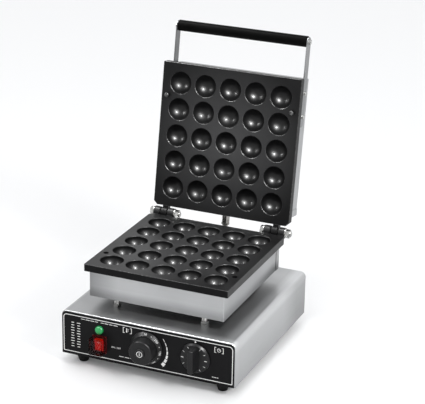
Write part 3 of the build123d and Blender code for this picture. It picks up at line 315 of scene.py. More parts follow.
finishes = {
    "boxSteel": {
        "color": (0.42, 0.425, 0.43), "colorTwo": (0.38, 0.385, 0.39), "metal": 1,
        "cloud": 4, "grain": 900, "stretch": (1, 0.018, 1), "rough": (0.32, 0.39),
        "smear": 0.03, "bump": 0.014, "bumpDepth": 0.0001,
        "streak": 420, "streakColor": (0.34, 0.345, 0.35),
        # painted shade and painted reflections, darker and paler by area
        "paintedLightZones": (
            (0.68, ("Z", 0.085, 0.091), ("X", -0.04, -0.085)),
            (1.35, ("X", 0.124, 0.137), ("Z", 0.075, 0.088)),
            (1.3, ("Y", -0.16, -0.168), ("X", -0.06, 0), ("Z", 0.085, 0.091)),
            (1.15, ("Y", 0.06, 0.1), ("X", 0.09, 0.12), ("Z", 0.085, 0.091)),
            (0.84, ("X", 0.145, 0.149), ("Z", 0.05, 0.02)),
            (1.1, ("X", 0.145, 0.149), ("Z", 0.05, 0.076)),
            (0.76, ("X", 0.145, 0.149), ("Y", 0.03, 0.09)),
        ),
    },
    "casingSteel": {
        "color": (0.42, 0.425, 0.43), "colorTwo": (0.34, 0.345, 0.35), "metal": 1,
        "cloud": 5, "grain": 900, "stretch": (0.018, 1, 1), "rough": (0.3, 0.38),
        "smear": 0.03, "bump": 0.04, "bumpDepth": 0.0001,
        "streak": 420, "streakColor": (0.30, 0.305, 0.31),
        # painted shade and painted reflections, darker and paler by area
        "paintedLightZones": (
            (0.6, ("X", -0.065, -0.112), ("Y", -0.1, -0.135)),
            (1.1, ("Z", 0.116, 0.128), ("Y", -0.12, -0.137)),
            (0.74, ("Z", 0.128, 0.115)),
            (0.5, ("Z", 0.13, 0.116), ("Y", -0.06, 0.08)),
            (0.8, ("Y", 0.03, 0.09)),
        ),
    },
    "lidSteel": {
        "color": (0.42, 0.425, 0.43), "colorTwo": (0.34, 0.345, 0.35), "metal": 1,
        "cloud": 5, "grain": 900, "stretch": (0.018, 1, 1), "rough": (0.3, 0.38),
        "smear": 0.03, "bump": 0.04, "bumpDepth": 0.0001,
        "streak": 420, "streakColor": (0.27, 0.275, 0.28),
    },
    "armSteel": {
        "color": (0.29, 0.295, 0.30), "colorTwo": (0.20, 0.205, 0.21), "metal": 1,
        "cloud": 22, "grain": 1100, "stretch": (1, 1, 0.02), "rough": (0.24, 0.33),
        "smear": 0.05, "bump": 0.1, "bumpDepth": 0.0001,
    },
    # armSteel painted darker as shade, for the left arm
    "paintedShadeArmSteel": {
        "color": (0.19, 0.194, 0.198), "colorTwo": (0.12, 0.123, 0.126), "metal": 1,
        "cloud": 22, "grain": 1100, "stretch": (1, 1, 0.02), "rough": (0.24, 0.33),
        "smear": 0.05, "bump": 0.1, "bumpDepth": 0.0001,
    },
    "zincPlate": {
        "color": (0.47, 0.47, 0.46), "colorTwo": (0.28, 0.28, 0.27), "metal": 1,
        "cloud": 190, "grain": 2400, "rough": (0.14, 0.26),
        "smear": 0.1, "bump": 0.1, "bumpDepth": 0.0001,
    },
    "bareSteel": {
        "color": (0.45, 0.45, 0.44), "colorTwo": (0.33, 0.32, 0.31), "metal": 1,
        "cloud": 60, "grain": 1500, "stretch": (1, 1, 0.2), "rough": (0.3, 0.45),
        "smear": 0.1, "bump": 0.15, "bumpDepth": 0.0001,
    },
    "moulded": {
        "color": (0.007, 0.007, 0.0075), "colorTwo": (0.011, 0.011, 0.0115),
        "cloud": 40, "grain": 2600, "rough": (0.26, 0.36), "ior": 1.5,
        "smear": 0.06, "bump": 0.15, "bumpDepth": 0.00012, "gloss": 0.22,
    },
    "gripRubber": {
        "color": (0.0015, 0.0015, 0.0015), "colorTwo": (0.003, 0.003, 0.003),
        "cloud": 30, "grain": 3200, "rough": (0.38, 0.5), "ior": 1.42,
        "smear": 0.08, "bump": 0.2, "bumpDepth": 0.00015, "gloss": 0.03,
    },
    "footRubber": {
        "color": (0.005, 0.005, 0.005), "colorTwo": (0.009, 0.009, 0.009),
        "cloud": 90, "grain": 3000, "rough": (0.5, 0.65), "ior": 1.45,
        "smear": 0.1, "bump": 0.25, "bumpDepth": 0.0002, "gloss": 0.14,
    },
    "paleNylon": {
        "color": (0.62, 0.60, 0.55), "colorTwo": (0.56, 0.54, 0.49),
        "cloud": 70, "grain": 2400, "rough": (0.4, 0.5), "ior": 1.5,
        "smear": 0.06, "bump": 0.1, "bumpDepth": 0.0001,
    },
    "heaterSheath": {
        "color": (0.17, 0.15, 0.14), "colorTwo": (0.09, 0.08, 0.08), "metal": 0.8,
        "cloud": 45, "grain": 1800, "rough": (0.45, 0.6),
        "smear": 0.1, "bump": 0.2, "bumpDepth": 0.0001,
    },
    "redRocker": {
        "color": (0.62, 0.012, 0.008), "colorTwo": (0.5, 0.008, 0.006),
        "cloud": 90, "grain": 2800, "rough": (0.22, 0.3), "ior": 1.5, "coat": 0.3,
        "smear": 0.05, "bump": 0.05, "bumpDepth": 0.0001,
        "glow": (0.9, 0.012, 0.006), "glowStrength": 0.45,
    },
    "redBezel": {
        "color": (0.10, 0.004, 0.004), "colorTwo": (0.07, 0.003, 0.003),
        "cloud": 70, "grain": 2800, "rough": (0.2, 0.28), "ior": 1.5, "gloss": 0.4,
        "smear": 0.05, "bump": 0.08, "bumpDepth": 0.0001,
    },
    "unionPlate": {
        "color": (0.34, 0.335, 0.32), "colorTwo": (0.17, 0.16, 0.15), "metal": 1,
        "cloud": 140, "grain": 2000, "rough": (0.14, 0.26),
        "smear": 0.1, "bump": 0.1, "bumpDepth": 0.0001,
    },
    "hoseSteel": {
        "color": (0.46, 0.455, 0.44), "colorTwo": (0.30, 0.295, 0.28), "metal": 1,
        "cloud": 130, "grain": 1900, "rough": (0.24, 0.38),
        "smear": 0.08, "bump": 0.12, "bumpDepth": 0.0001,
    },
    "blackFilm": {
        "color": (0.005, 0.005, 0.0055), "colorTwo": (0.007, 0.007, 0.0075),
        "cloud": 16, "grain": 3400, "rough": (0.3, 0.38), "ior": 1.42,
        "smear": 0.05, "bump": 0.12, "bumpDepth": 0.00008, "gloss": 0.11,
    },
    "clearCover": {
        "color": (0.50, 0.43, 0.43), "colorTwo": (0.42, 0.35, 0.35), "clear": 1,
        "cloud": 120, "grain": 700, "rough": (0.03, 0.07), "ior": 1.16,
        "smear": 0.03, "bump": 0.06, "bumpDepth": 0.0002,
    },
    "whiteInk": {
        "color": (0.82, 0.82, 0.81), "colorTwo": (0.72, 0.72, 0.71),
        "cloud": 300, "grain": 4000, "rough": (0.4, 0.5), "ior": 1.45,
        "smear": 0.05, "bump": 0.05, "bumpDepth": 0.00003,
    },
}

plateSet = {
    "color": (0.005, 0.005, 0.0052),
    "colorTwo": (0.008, 0.008, 0.0083),
    "rough": (0.34, 0.41),
    "cloud": 11,
    "grain": 2200,
    "bump": 0.22,
    "bumpDepth": 0.00012,
    "smear": 0.07,
    "cups": 5,  # in a row
    "pitch": 0.045,
    "cupRadius": 0.019,
    "cupCoat": 0.1,
    "cupCoatRough": 0.13,
    "rimWidth": (0.0002, 0.0005),
    "rimDepth": (0.0008, 0.0014),
    # painted highlight colour of the cup rims and outer edges
    "glintColor": (0.085, 0.085, 0.085),
    "edgeZone": (0.1229, 0.1236),
    "edgeDepth": (0.0004, 0.0008),
    "frontZone": (-0.1234, -0.1231),
    "patches": 260,
    "patchRange": (0.4, 0.6),
    "patchLow": 0.2,
    # painted sheen, paler towards the middle of the flat face
    "paintedSheenColor": (0.050, 0.050, 0.0508),
    "paintedSheenReach": (0.02, 0.15),
    "paintedSheenDepth": (0.0004, 0.0012),
    # painted highlight colour of the pin tips
    "tipGlintColor": (0.13, 0.13, 0.13),
    "tipHeight": (0.0056, 0.0062),
    "pinPlace": (0.112, 0.0675),
    "pinReach": 0.0045,
}

plateFaces = {
    "lower_plate": {
        "turn": (0, 0, 0),
        "shift": (0, 0.0265, -0.165),
        "gloss": 0.3,
        "frontGloss": 0.07,
        "cupGloss": (0.08, 0.36),  # dull side, polished side
        "polished": (0, -1, -0.008, -0.003),  # shares of place and depth, full from, none from
        # strength of the painted highlight on the cup rims
        "rimGlintStrength": 0.4,
    },
    "lid_plate": {
        "turn": (math.radians(-81.1), 0, 0),
        "shift": (0, -0.315277, 0.082075),
        "gloss": 0.15,
        "frontGloss": 0.15,
        "cupGloss": (0.08, 0.5),
        "polished": (1, 0, -0.006, 0.008),
        "rimGlintStrength": 1,
    },
}


def times(tree, *values):
    total = values[0]
    for value in values[1:]:
        total = combine(tree, "MULTIPLY", total, value)
    return total


def reachOf(tree, x, y):
    squares = [times(tree, value, value) for value in (x, y)]
    return combine(tree, "SQRT", combine(tree, "ADD", *squares))


def cupMasks(tree, s, x, y, depth):
    # the cups themselves, their rims, and the side of each cup that use has polished
    # x and y are taken from the middle of the nearest cup, by a remainder kept above zero
    sides = []
    for value in (x, y):
        value = combine(tree, "ADD", value, s["pitch"] * (2 * s["cups"] + 0.5))
        value = combine(tree, "MODULO", value, s["pitch"])
        sides.append(combine(tree, "SUBTRACT", value, s["pitch"] / 2))
    aside, down, start, end = s["polished"]
    place = combine(tree, "ADD", times(tree, sides[1], aside), times(tree, depth, down))
    polished = spread(tree, place, 1, 0, start, end)
    reach = reachOf(tree, *sides)
    fromRim = combine(tree, "ABSOLUTE", combine(tree, "SUBTRACT", reach, s["cupRadius"]))
    inside = [combine(tree, "LESS_THAN", combine(tree, "ABSOLUTE", value),
                      s["pitch"] * s["cups"] / 2) for value in (x, y)]
    cup = times(tree, combine(tree, "LESS_THAN", reach, s["cupRadius"]), *inside)
    # painted highlight along the cup rims
    rim = times(tree, spread(tree, fromRim, 1, 0, *s["rimWidth"]), *inside,
                spread(tree, depth, s["rimGlintStrength"], 0, *s["rimDepth"]))
    return cup, rim, polished


def edgeMask(tree, s, x, y, depth):
    far = combine(tree, "MAXIMUM", *(combine(tree, "ABSOLUTE", value) for value in (x, y)))
    start, end = s["edgeZone"]
    return times(tree, combine(tree, "GREATER_THAN", far, start),
                 combine(tree, "LESS_THAN", far, end),
                 spread(tree, depth, 1, 0, *s["edgeDepth"]))


def tipMask(tree, s, x, y, height):
    # painted highlight at the guide pins' tips
    pinX, pinY = s["pinPlace"]
    fromPin = reachOf(tree, combine(tree, "SUBTRACT", combine(tree, "ABSOLUTE", x), pinX),
                      combine(tree, "SUBTRACT", y, pinY))
    return times(tree, spread(tree, height, 0, 1, *s["tipHeight"]),
                 combine(tree, "LESS_THAN", fromPin, s["pinReach"]))


def plateCoating(name):
    s = dict(plateSet, **plateFaces[name])
    mat, tree, shade, tint = surface(name + "Coating", s)[:4]
    face = objectPoint(tree, turn=s["turn"], shift=s["shift"])
    split = addNode(tree, "SeparateXYZ", (-1000, 300))
    tree.links.new(face, split.inputs[0])
    x, y, height = split.outputs
    depth = combine(tree, "ABSOLUTE", height)
    cup, rim, polished = cupMasks(tree, s, x, y, depth)
    # the narrow front edge is duller than the rest
    sheen = spread(tree, y, s["frontGloss"], s["gloss"], *s["frontZone"])
    low, high = s["cupGloss"]
    rise = combine(tree, "ADD", times(tree, polished, high - low), low - s["gloss"])
    sheen = combine(tree, "ADD", sheen, times(tree, cup, rise))
    tree.links.new(sheen, shade.inputs["Specular IOR Level"])
    tree.links.new(times(tree, cup, polished, s["cupCoat"]), shade.inputs["Coat Weight"])
    shade.inputs["Coat Roughness"].default_value = s["cupCoatRough"]
    # painted sheen: the flat face is a little paler towards the middle
    pale = times(tree, spread(tree, reachOf(tree, x, y), 1, 0, *s["paintedSheenReach"]),
                 spread(tree, depth, 1, 0, *s["paintedSheenDepth"]))
    tint = mixColors(tree, pale, tint, s["paintedSheenColor"])
    # painted highlights: rims, outer edges and pin tips are coloured as bare metal in patches
    patchy = spread(tree, noise(tree, face, s["patches"]), s["patchLow"], 1, *s["patchRange"])
    edge = edgeMask(tree, s, x, y, depth)
    glintPatches = times(tree, combine(tree, "MAXIMUM", rim, edge), patchy)
    tint = mixColors(tree, glintPatches, tint, s["glintColor"])
    # painted highlight at the pin tips
    tip = times(tree, tipMask(tree, s, x, y, height), patchy)
    tree.links.new(mixColors(tree, tip, tint, s["tipGlintColor"]), shade.inputs["Base Color"])
    tree.links.new(combine(tree, "MAXIMUM", glintPatches, tip), shade.inputs["Metallic"])
    return mat


lensSet = {
    "color": (0.02, 0.30, 0.09), "colorTwo": (0.012, 0.22, 0.06),
    "cloud": 150, "grain": 900, "rough": (0.1, 0.18), "ior": 1.5,
    "bump": 0.1, "bumpDepth": 0.0002, "glow": (0.02, 0.5, 0.12), "glowStrength": 0.12,
    "facets": 620, "facetBump": 0.7, "facetDepth": 0.0006,
}


def lampLens():
    s = lensSet
    mat, tree, shade, _, bump = surface("greenLens", s)
    facets = addNode(tree, "TexVoronoi", (-1000, -400), Scale=s["facets"])
    tree.links.new(objectPoint(tree), facets.inputs["Vector"])
    addBump(tree, shade, facets.outputs["Distance"], s["facetBump"], s["facetDepth"], bump)
    return mat


def dress(names, mat):
    for name in names.split():
        mesh = nodes[name].data
        mesh.materials.clear()
        mesh.materials.append(mat)


dressing = {
    "boxSteel": "base_housing bottom_plate rear_panel",
    "casingSteel": "lower_casing",
    "lidSteel": "lid_casing",
    # the left arm gets armSteel painted darker as shade
    "paintedShadeArmSteel": "handle_arm_left",
    "armSteel": "handle_arm_right",
    "zincPlate": "arm_nuts arm_screws bottom_screws handle_screws hinge_bolts hinge_nuts "
                 "hinge_washers lid_casing_screws lid_clamp_screws lower_casing_screws "
                 "lower_clamp_screws foot_nuts foot_screws rear_screws standoff_bolts "
                 "standoff_nuts thermostat_screws timer_screws",
    "bareSteel": "standoff_sleeves handle_rod thermostat_body thermostat_spindle timer_body "
                 "timer_spindle lid_heater_clamps lower_heater_clamps wire_duct wire_duct_nut",
    "moulded": "thermostat_knob timer_knob cord_gland cord_gland_nut",
    "redBezel": "switch_housing",
    "gripRubber": "handle_grip",
    "footRubber": "foot_front_left foot_front_right foot_rear_left foot_rear_right hose_bush",
    "hoseSteel": "hose",
    "paleNylon": "terminal_block pilot_lamp_body pilot_lamp_nut",
    "heaterSheath": "lower_heater lid_heater",
    "redRocker": "switch_rocker",
    "unionPlate": "hose_union",
    "blackFilm": "control_overlay",
    "clearCover": "switch_cover",
}

finish = {name: surface(name, s)[0] for name, s in finishes.items()}
for name, dressed in dressing.items():
    dress(dressed, finish[name])
for plate in plateFaces:
    dress(plate, plateCoating(plate))
dress("pilot_lamp_lens", lampLens())
print("materials made")

# modelling helpers


def rest():
    if bpy.context.mode != "OBJECT":
        bpy.ops.object.mode_set(mode="OBJECT")
    bpy.ops.object.select_all(action="DESELECT")


def choose(piece):
    rest()
    piece.select_set(True)
    bpy.context.view_layer.objects.active = piece


def applyPlace():
    bpy.ops.object.transform_apply(location=True, rotation=True, scale=True)


def editMode(kind="VERT"):
    bpy.ops.object.mode_set(mode="EDIT")
    bpy.ops.mesh.select_mode(type=kind)


def pick(piece, test, part="vertices"):
    # selects what lies where test says, then goes back to edit mode
    bpy.ops.object.mode_set(mode="OBJECT")
    mesh = piece.data
    for group in (mesh.polygons, mesh.edges, mesh.vertices):
        for item in group:
            item.select = False
    for item in getattr(mesh, part):
        if part == "vertices":
            spot = item.co
        elif part == "polygons":
            spot = item.center
        else:
            a, b = item.vertices
            spot = (mesh.vertices[a].co + mesh.vertices[b].co) / 2
        item.select = bool(test(spot))
    bpy.ops.object.mode_set(mode="EDIT")


def useModifier(piece, kind, **sets):
    bpy.context.view_layer.objects.active = piece
    mod = piece.modifiers.new(kind.lower(), kind)
    for key, value in sets.items():
        setattr(mod, key, value)
    bpy.ops.object.modifier_apply(modifier=mod.name)


def joinPieces(pieces, name):
    rest()
    for piece in pieces:
        piece.select_set(True)
    bpy.context.view_layer.objects.active = pieces[0]
    bpy.ops.object.join()
    joined = bpy.context.active_object
    joined.name = name
    return joined


def settle(piece, body, mat):
    choose(piece)
    applyPlace()
    piece.data.materials.clear()
    piece.data.materials.append(mat)
    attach(piece, body)


def placeOn(piece, matrix):
    # a flat piece drawn in x and y goes onto a face of the object
    choose(piece)
    applyPlace()
    piece.matrix_world = matrix
    applyPlace()


def faceMatrix(origin, right, up):
    right, up = Vector(right), Vector(up)
    turn = Matrix((right, up, right.cross(up))).transposed().to_4x4()
    return Matrix.Translation(origin) @ turn


def bar(width, height, x=0, y=0, turn=0):
    rest()
    bpy.ops.mesh.primitive_plane_add(size=1)
    piece = bpy.context.active_object
    editMode()
    bpy.ops.mesh.select_all(action="SELECT")
    bpy.ops.transform.resize(value=(width, height, 1))
    bpy.ops.object.mode_set(mode="OBJECT")
    piece.rotation_euler[2] = turn
    piece.location = (x, y, 0)
    applyPlace()
    return piece


def dot(radius, x=0, y=0, sides=24):
    rest()
    bpy.ops.mesh.primitive_circle_add(vertices=sides, radius=radius, fill_type="NGON",
                                      location=(x, y, 0))
    piece = bpy.context.active_object
    applyPlace()
    return piece


def arcBand(inner, outer, start, end, steps=8):
    # one radial edge spun round the origin
    width = outer - inner
    piece = bar(width, width, (inner + outer) / 2, -width / 2)
    editMode()
    pick(piece, lambda c: c.y < -width / 2)
    bpy.ops.mesh.delete(type="VERT")
    bpy.ops.mesh.select_all(action="SELECT")
    bpy.ops.mesh.spin(steps=steps, angle=end - start, center=(0, 0, 0), axis=(0, 0, 1))
    bpy.ops.mesh.select_all(action="SELECT")
    bpy.ops.mesh.remove_doubles(threshold=1e-6)
    bpy.ops.mesh.normals_make_consistent(inside=False)
    bpy.ops.object.mode_set(mode="OBJECT")
    piece.rotation_euler[2] = start
    applyPlace()
    return piece


def ringBand(inner, outer, x=0, y=0, sides=32):
    rest()
    bpy.ops.mesh.primitive_circle_add(vertices=sides, radius=outer)
    piece = bpy.context.active_object
    editMode("EDGE")
    bpy.ops.mesh.select_all(action="SELECT")
    bpy.ops.mesh.extrude_edges_move()
    bpy.ops.transform.resize(value=(inner / outer, inner / outer, 1))
    bpy.ops.object.mode_set(mode="OBJECT")
    piece.location = (x, y, 0)
    applyPlace()
    return piece


def pullEdges(piece, test, x, y):
    # draws the chosen edges of a flat piece out sideways
    editMode("EDGE")
    pick(piece, test, "edges")
    bpy.ops.mesh.extrude_edges_move(TRANSFORM_OT_translate={"value": (x, y, 0)})
    bpy.ops.object.mode_set(mode="OBJECT")


def lettering(words, size, x=0, y=0):
    rest()
    bpy.ops.object.text_add(location=(x, y, 0))
    piece = bpy.context.active_object
    piece.data.body = words
    piece.data.size = size
    piece.data.align_x = "CENTER"
    piece.data.align_y = "CENTER"
    piece.data.resolution_u = 3  # steps along each curve
    bpy.ops.object.convert(target="MESH")
    piece = bpy.context.active_object
    applyPlace()
    return piece


def inkUp(piece, thickness):
    # gives a flat print its thickness, standing out of the face it is on
    choose(piece)
    editMode("FACE")
    bpy.ops.object.mode_set(mode="OBJECT")
    for face in piece.data.polygons:
        face.select = face.normal.z < 0
    bpy.ops.object.mode_set(mode="EDIT")
    bpy.ops.mesh.flip_normals()
    bpy.ops.object.mode_set(mode="OBJECT")
    useModifier(piece, "SOLIDIFY", thickness=thickness, offset=1)


def wrapOn(piece, node, lift, thickness):
    # lays a print on a curved node, then gives it its thickness
    useModifier(piece, "SHRINKWRAP", target=nodes[node], wrap_method="NEAREST_SURFACEPOINT",
                wrap_mode="ABOVE_SURFACE", offset=lift)
    useModifier(piece, "SOLIDIFY", thickness=thickness, offset=1)


panelSet = {
    "front": -0.1773,
    "ink": 0.00006,
    "border": (-0.1462, 0.1458, 0.0222, 0.0868),  # left, right, bottom, top
    "borderLine": 0.0011,
    "topRound": (0.0062, 8),  # radius, segments
    "bottomRound": (0.0016, 4),
    "arcInner": 0.0345,
    "arcStart": 46,
    "arcEnd": -36,
    "arcWidths": (0.0008, 0.0011, 0.0016, 0.0022, 0.0029, 0.0038, 0.0050),
    "arcGap": 2.2,
    "arcInset": 0.1,  # share of the width inside the line
    "arcSteps": 5,
    "knobHeight": 0.056,
    "timerDot": (0.0015, 0.083, 0.0829),  # radius, x, z
    "signs": ((-0.0335, 0.0786), (0.1225, 0.0768)),
    "ruleColumns": (-0.1298, -0.1192),
    "ruleRows": 10,
    "ruleTop": 0.0738,
    "ruleStep": 0.0046,
    "ruleWidth": (0.0044, 0.0018),  # least, and how much more
    "ruleHeight": 0.0011,
    "titleRow": ((-0.1115, 0.0066), (-0.1032, 0.0072), (-0.0948, 0.0066), (-0.0875, 0.0052),
                 (-0.0772, 0.0050), (-0.0700, 0.0066), (-0.0622, 0.0058),
                 (-0.0540, 0.0072)),  # middle, width
    "titlePlace": (0.0825, 0.0009),  # z, height
    "footRows": ((-0.034, 0.0312, 0.030), (0.117, 0.0294, 0.0115)),  # x, z, width
    "footDash": (0.26, 0.0010, 0.33),  # width and step as shares of the row, height between
    "switchWords": ("ON / OFF", 0.0041, -0.0535, 0.0445),
}


signSet = {
    "size": (0.0152, 0.0095),
    "line": 0.0009,
    "foot": 0.0019,
    "slack": 0.4,  # of a line, when its edges are chosen
    "bulb": (0.0013, -0.0012, -0.0022),  # radius, x, y
    "stem": 0.0045,
    "stemFrom": 0.85,  # of the bulb's radius
    "tick": (0.0019, 0.0005, 0.0014),  # length, height, x
    "tickRows": (-0.0008, 0.0008, 0.0024),
    "dialBand": (0.0024, 0.0031),
    "handWidth": 0.0005,
    "handReach": (0.0013, 0.0017),
}


def bracket(x, y, side):
    # a square corner is drawn down the side, then both feet are drawn in
    width, height = signSet["size"]
    line = signSet["line"]
    slack = signSet["slack"] * line
    edge, top = x + side * (width - line) / 2, y + (height - line) / 2
    piece = bar(line, line, edge, top)
    pullEdges(piece, lambda c: c.y < top - slack, 0, 2 * line - height)
    pullEdges(piece, lambda c: c.y < y - height / 2 + line + slack, 0, -line)
    pullEdges(piece, lambda c: (c.x - edge) * side < -slack
              and abs(c.y - y) > height / 2 - line, -side * signSet["foot"], 0)
    return piece


def thermometerSign(x, y):
    radius, aside, low = signSet["bulb"]
    bulb = dot(radius, x + aside, y + low)
    shoulder = y + low + radius * signSet["stemFrom"]
    pullEdges(bulb, lambda c: c.y > shoulder, 0, signSet["stem"])
    length, height, shift = signSet["tick"]
    ticks = [bar(length, height, x + shift, y + row) for row in signSet["tickRows"]]
    return [bracket(x, y, -1), bracket(x, y, 1), bulb, *ticks]


def clockSign(x, y):
    hand = signSet["handWidth"]
    slack = signSet["slack"] * hand
    right, up = signSet["handReach"]
    hands = bar(hand, hand, x, y)
    pullEdges(hands, lambda c: c.y > y + slack, 0, up)
    pullEdges(hands, lambda c: c.x > x + slack and c.y < y + slack, right, 0)
    return [bracket(x, y, -1), bracket(x, y, 1), ringBand(*signSet["dialBand"], x, y), hands]


def makePanelPrint():
    p = panelSet
    left, right, bottom, top = p["border"]
    middle = (bottom + top) / 2
    outline = bar(right - left, top - bottom, (left + right) / 2, middle)
    choose(outline)
    editMode()
    for (offset, segments), test in ((p["topRound"], lambda c: c.y > middle),
                                     (p["bottomRound"], lambda c: c.y < middle)):
        pick(outline, test)
        bpy.ops.mesh.bevel(offset=offset, segments=segments, affect="VERTICES")
    bpy.ops.mesh.select_mode(type="FACE")
    bpy.ops.mesh.select_all(action="SELECT")
    bpy.ops.mesh.inset(thickness=p["borderLine"], depth=0)
    bpy.ops.mesh.delete(type="FACE")
    bpy.ops.object.mode_set(mode="OBJECT")
    made = [outline]
    sweep = (p["arcStart"] - p["arcEnd"]) / len(p["arcWidths"])
    for n, width in enumerate(p["arcWidths"]):
        start = math.radians(p["arcStart"] - n * sweep)
        end = math.radians(p["arcStart"] - (n + 1) * sweep + p["arcGap"])
        inner = p["arcInner"] - width * p["arcInset"]
        piece = arcBand(inner, p["arcInner"] + width, end, start, p["arcSteps"])
        piece.location = (0, p["knobHeight"], 0)
        made.append(piece)
    made.append(dot(*p["timerDot"]))
    made += thermometerSign(*p["signs"][0])
    made += clockSign(*p["signs"][1])
    least, more = p["ruleWidth"]
    for column, x in enumerate(p["ruleColumns"]):
        for row in range(p["ruleRows"]):
            width = least + more * ((row * 5 + column * 3) % 4) / 3
            made.append(bar(width, p["ruleHeight"], x, p["ruleTop"] - row * p["ruleStep"]))
    place, height = p["titlePlace"]
    for x, width in p["titleRow"]:
        made.append(bar(width, height, x, place))
    dash, height, step = p["footDash"]
    for x, z, width in p["footRows"]:
        for side in (-1, 0, 1):
            made.append(bar(width * dash, height, x + side * width * step, z))
    made.append(lettering(*p["switchWords"]))
    printed = joinPieces(made, "panelPrint")
    inkUp(printed, p["ink"])
    placeOn(printed, faceMatrix((0, p["front"], 0), (1, 0, 0), (0, 0, 1)))
    settle(printed, "base", finish["whiteInk"])


dialSet = {
    "center": (0, 0.056),
    "front": -0.1781,  # back edge of the skirt
    "midRadius": 0.0250,
    "midDepth": 0.0043,
    "slope": 47.2,
    "numbers": ("50", "100", "150", "200", "250", "300"),
    "firstAngle": 0,
    "step": 48,
    "textSize": 0.0052,
    "dotRadius": 0.0007,
    "dotSides": 12,
    "capFront": -0.2043,
    "capRing": (0.0041, 0.0050),
    "capBar": (0.0010, 0.0052),
    "ink": 0.00003,
}


def makeDialNumbers():
    d = dialSet
    tilt = math.radians(d["slope"])
    made = []
    x, z = d["center"]
    for n in range(2 * len(d["numbers"]) - 1):
        angle = math.radians(d["firstAngle"] + n * d["step"] / 2)
        out = Vector((math.sin(angle), 0, math.cos(angle)))
        along = Vector((math.cos(angle), 0, -math.sin(angle)))
        up = out * math.cos(tilt) + Vector((0, math.sin(tilt), 0))
        spot = Vector((x, d["front"] - d["midDepth"], z)) + out * d["midRadius"]
        if n % 2 == 0:
            piece = lettering(d["numbers"][n // 2], d["textSize"])
        else:
            piece = dot(d["dotRadius"], sides=d["dotSides"])
        placeOn(piece, faceMatrix(spot, along, up))
        made.append(piece)
    for piece in (ringBand(*d["capRing"]), bar(*d["capBar"])):
        placeOn(piece, faceMatrix((x, d["capFront"], z), (1, 0, 0), (0, 0, 1)))
        made.append(piece)
    printed = joinPieces(made, "dialNumbers")
    wrapOn(printed, "thermostat_knob", d["ink"] / 2, d["ink"] / 2)
    settle(printed, "thermostat_dial", finish["whiteInk"])


timerSet = {
    "center": (0.083, 0.056),
    "front": -0.1781,
    "faceDepth": 0.0045,
    "ticks": 12,
    "noTick": 6,
    "boldEvery": 3,
    "boldTick": (0.0042, 0.0011),  # length, width
    "fineTick": (0.0032, 0.0007),
    "tickOuter": 0.0218,
    "ink": 0.00006,
}


def makeTimerTicks():
    t = timerSet
    made = []
    for n in range(t["ticks"]):
        if n == t["noTick"]:
            continue
        angle = math.radians(90 - n * 360 / t["ticks"])
        length, width = t["fineTick"] if n % t["boldEvery"] else t["boldTick"]
        reach = t["tickOuter"] - length / 2
        made.append(bar(length, width, reach * math.cos(angle), reach * math.sin(angle), angle))
    printed = joinPieces(made, "timerTicks")
    inkUp(printed, t["ink"])
    x, z = t["center"]
    placeOn(printed, faceMatrix((x, t["front"] - t["faceDepth"], z), (1, 0, 0), (0, 0, 1)))
    settle(printed, "timer_dial", finish["whiteInk"])


hoseSet = {
    "route": ((0, 0.1075, 0.088), (0, 0.1075, 0.108), (0, 0.132974, 0.137662),
              (0, 0.136068, 0.157422)),
    "routeOrder": 3,
    "routeSteps": 32,
    "crest": 0.005,
    "groove": 0.0043,
    "pitch": 0.0021,
    # rise in pitches, and how far out from groove to crest it ends
    "corrugation": ((0.16, 0), (0.17, 0.5), (0.12, 1), (0.22, 1), (0.12, 0.5), (0.21, 0)),
    "sides": 28,
    "merge": 0.00002,
    "smoothAngle": 50,
    "bendFrom": (0, 0.1075, 0.096),
    "bendTo": (0, 0.136068, 0.157422),
}


def hosePath():
    rest()
    bpy.ops.curve.primitive_nurbs_path_add()
    path = bpy.context.active_object
    path.data.splines.clear()
    spline = path.data.splines.new("NURBS")
    spline.points.add(len(hoseSet["route"]) - 1)
    for point, place in zip(spline.points, hoseSet["route"]):
        point.co = (*place, 1)
    spline.order_u = hoseSet["routeOrder"]
    spline.use_endpoint_u = True
    path.data.resolution_u = hoseSet["routeSteps"]
    path.data.twist_mode = "Z_UP"
    return path


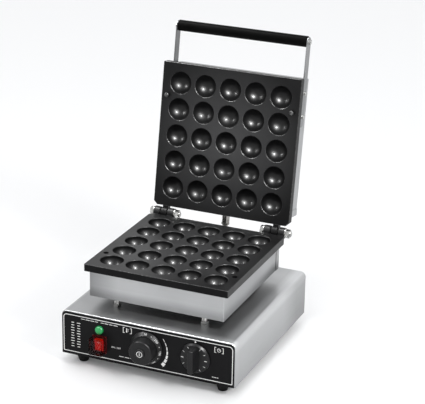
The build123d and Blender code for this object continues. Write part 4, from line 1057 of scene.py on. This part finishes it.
def makeHose():
    # one corrugation is extruded from a ring, repeated and bent along the path
    h = hoseSet
    path = hosePath()
    length = path.data.splines[0].calc_length()
    count = round(length / h["pitch"])
    pitch = length / count
    rest()
    bpy.ops.mesh.primitive_circle_add(vertices=h["sides"], radius=h["groove"])
    hose = bpy.context.active_object
    bpy.ops.object.mode_set(mode="EDIT")
    radius = h["groove"]
    for rise, out in h["corrugation"]:
        wanted = h["groove"] + out * (h["crest"] - h["groove"])
        bpy.ops.mesh.extrude_region_move(TRANSFORM_OT_translate={"value": (0, 0, rise * pitch)})
        bpy.ops.transform.resize(value=(wanted / radius, wanted / radius, 1))
        radius = wanted
    bpy.ops.object.mode_set(mode="OBJECT")
    useModifier(hose, "ARRAY", count=count, use_relative_offset=False, use_constant_offset=True,
                constant_offset_displace=(0, 0, pitch), use_merge_vertices=True,
                merge_threshold=h["merge"])
    useModifier(hose, "CURVE", object=path, deform_axis="POS_Z")
    editMode("EDGE")
    bpy.ops.mesh.select_all(action="DESELECT")
    bpy.ops.mesh.select_non_manifold()
    bpy.ops.mesh.edge_face_add()
    bpy.ops.mesh.select_all(action="SELECT")
    bpy.ops.mesh.normals_make_consistent(inside=False)
    bpy.ops.object.mode_set(mode="OBJECT")
    choose(path)
    bpy.ops.object.delete()
    hose.name = "bendingHose"
    choose(hose)
    bpy.ops.object.shade_smooth_by_angle(angle=math.radians(h["smoothAngle"]))
    hose.data.materials.append(finish["hoseSteel"])
    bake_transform(hose)
    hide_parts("hose")
    print("hose made,", count, "corrugations")


rockerSet = {
    "ringPlace": (-0.082, -0.181642, 0.049495),
    "ringUp": (0, -0.40735, 0.91325),
    "barPlace": (-0.082, -0.179829, 0.04017),
    "barUp": (0, 0.03557, 0.99935),
    "ringSize": (0.0011, 0.00165),
    "barSize": (0.0006, 0.0032),
    "ink": 0.00006,
}


def makeRockerMarks():
    r = rockerSet
    ring = ringBand(*r["ringSize"])
    placeOn(ring, faceMatrix(r["ringPlace"], (1, 0, 0), Vector(r["ringUp"]).normalized()))
    line = bar(*r["barSize"])
    placeOn(line, faceMatrix(r["barPlace"], (1, 0, 0), Vector(r["barUp"]).normalized()))
    printed = joinPieces([ring, line], "rockerMarks")
    wrapOn(printed, "switch_rocker", r["ink"] / 2, r["ink"])
    settle(printed, "rocker", finish["whiteInk"])


makeHose()
makePanelPrint()
makeDialNumbers()
makeTimerTicks()
makeRockerMarks()
print("printed marks made")
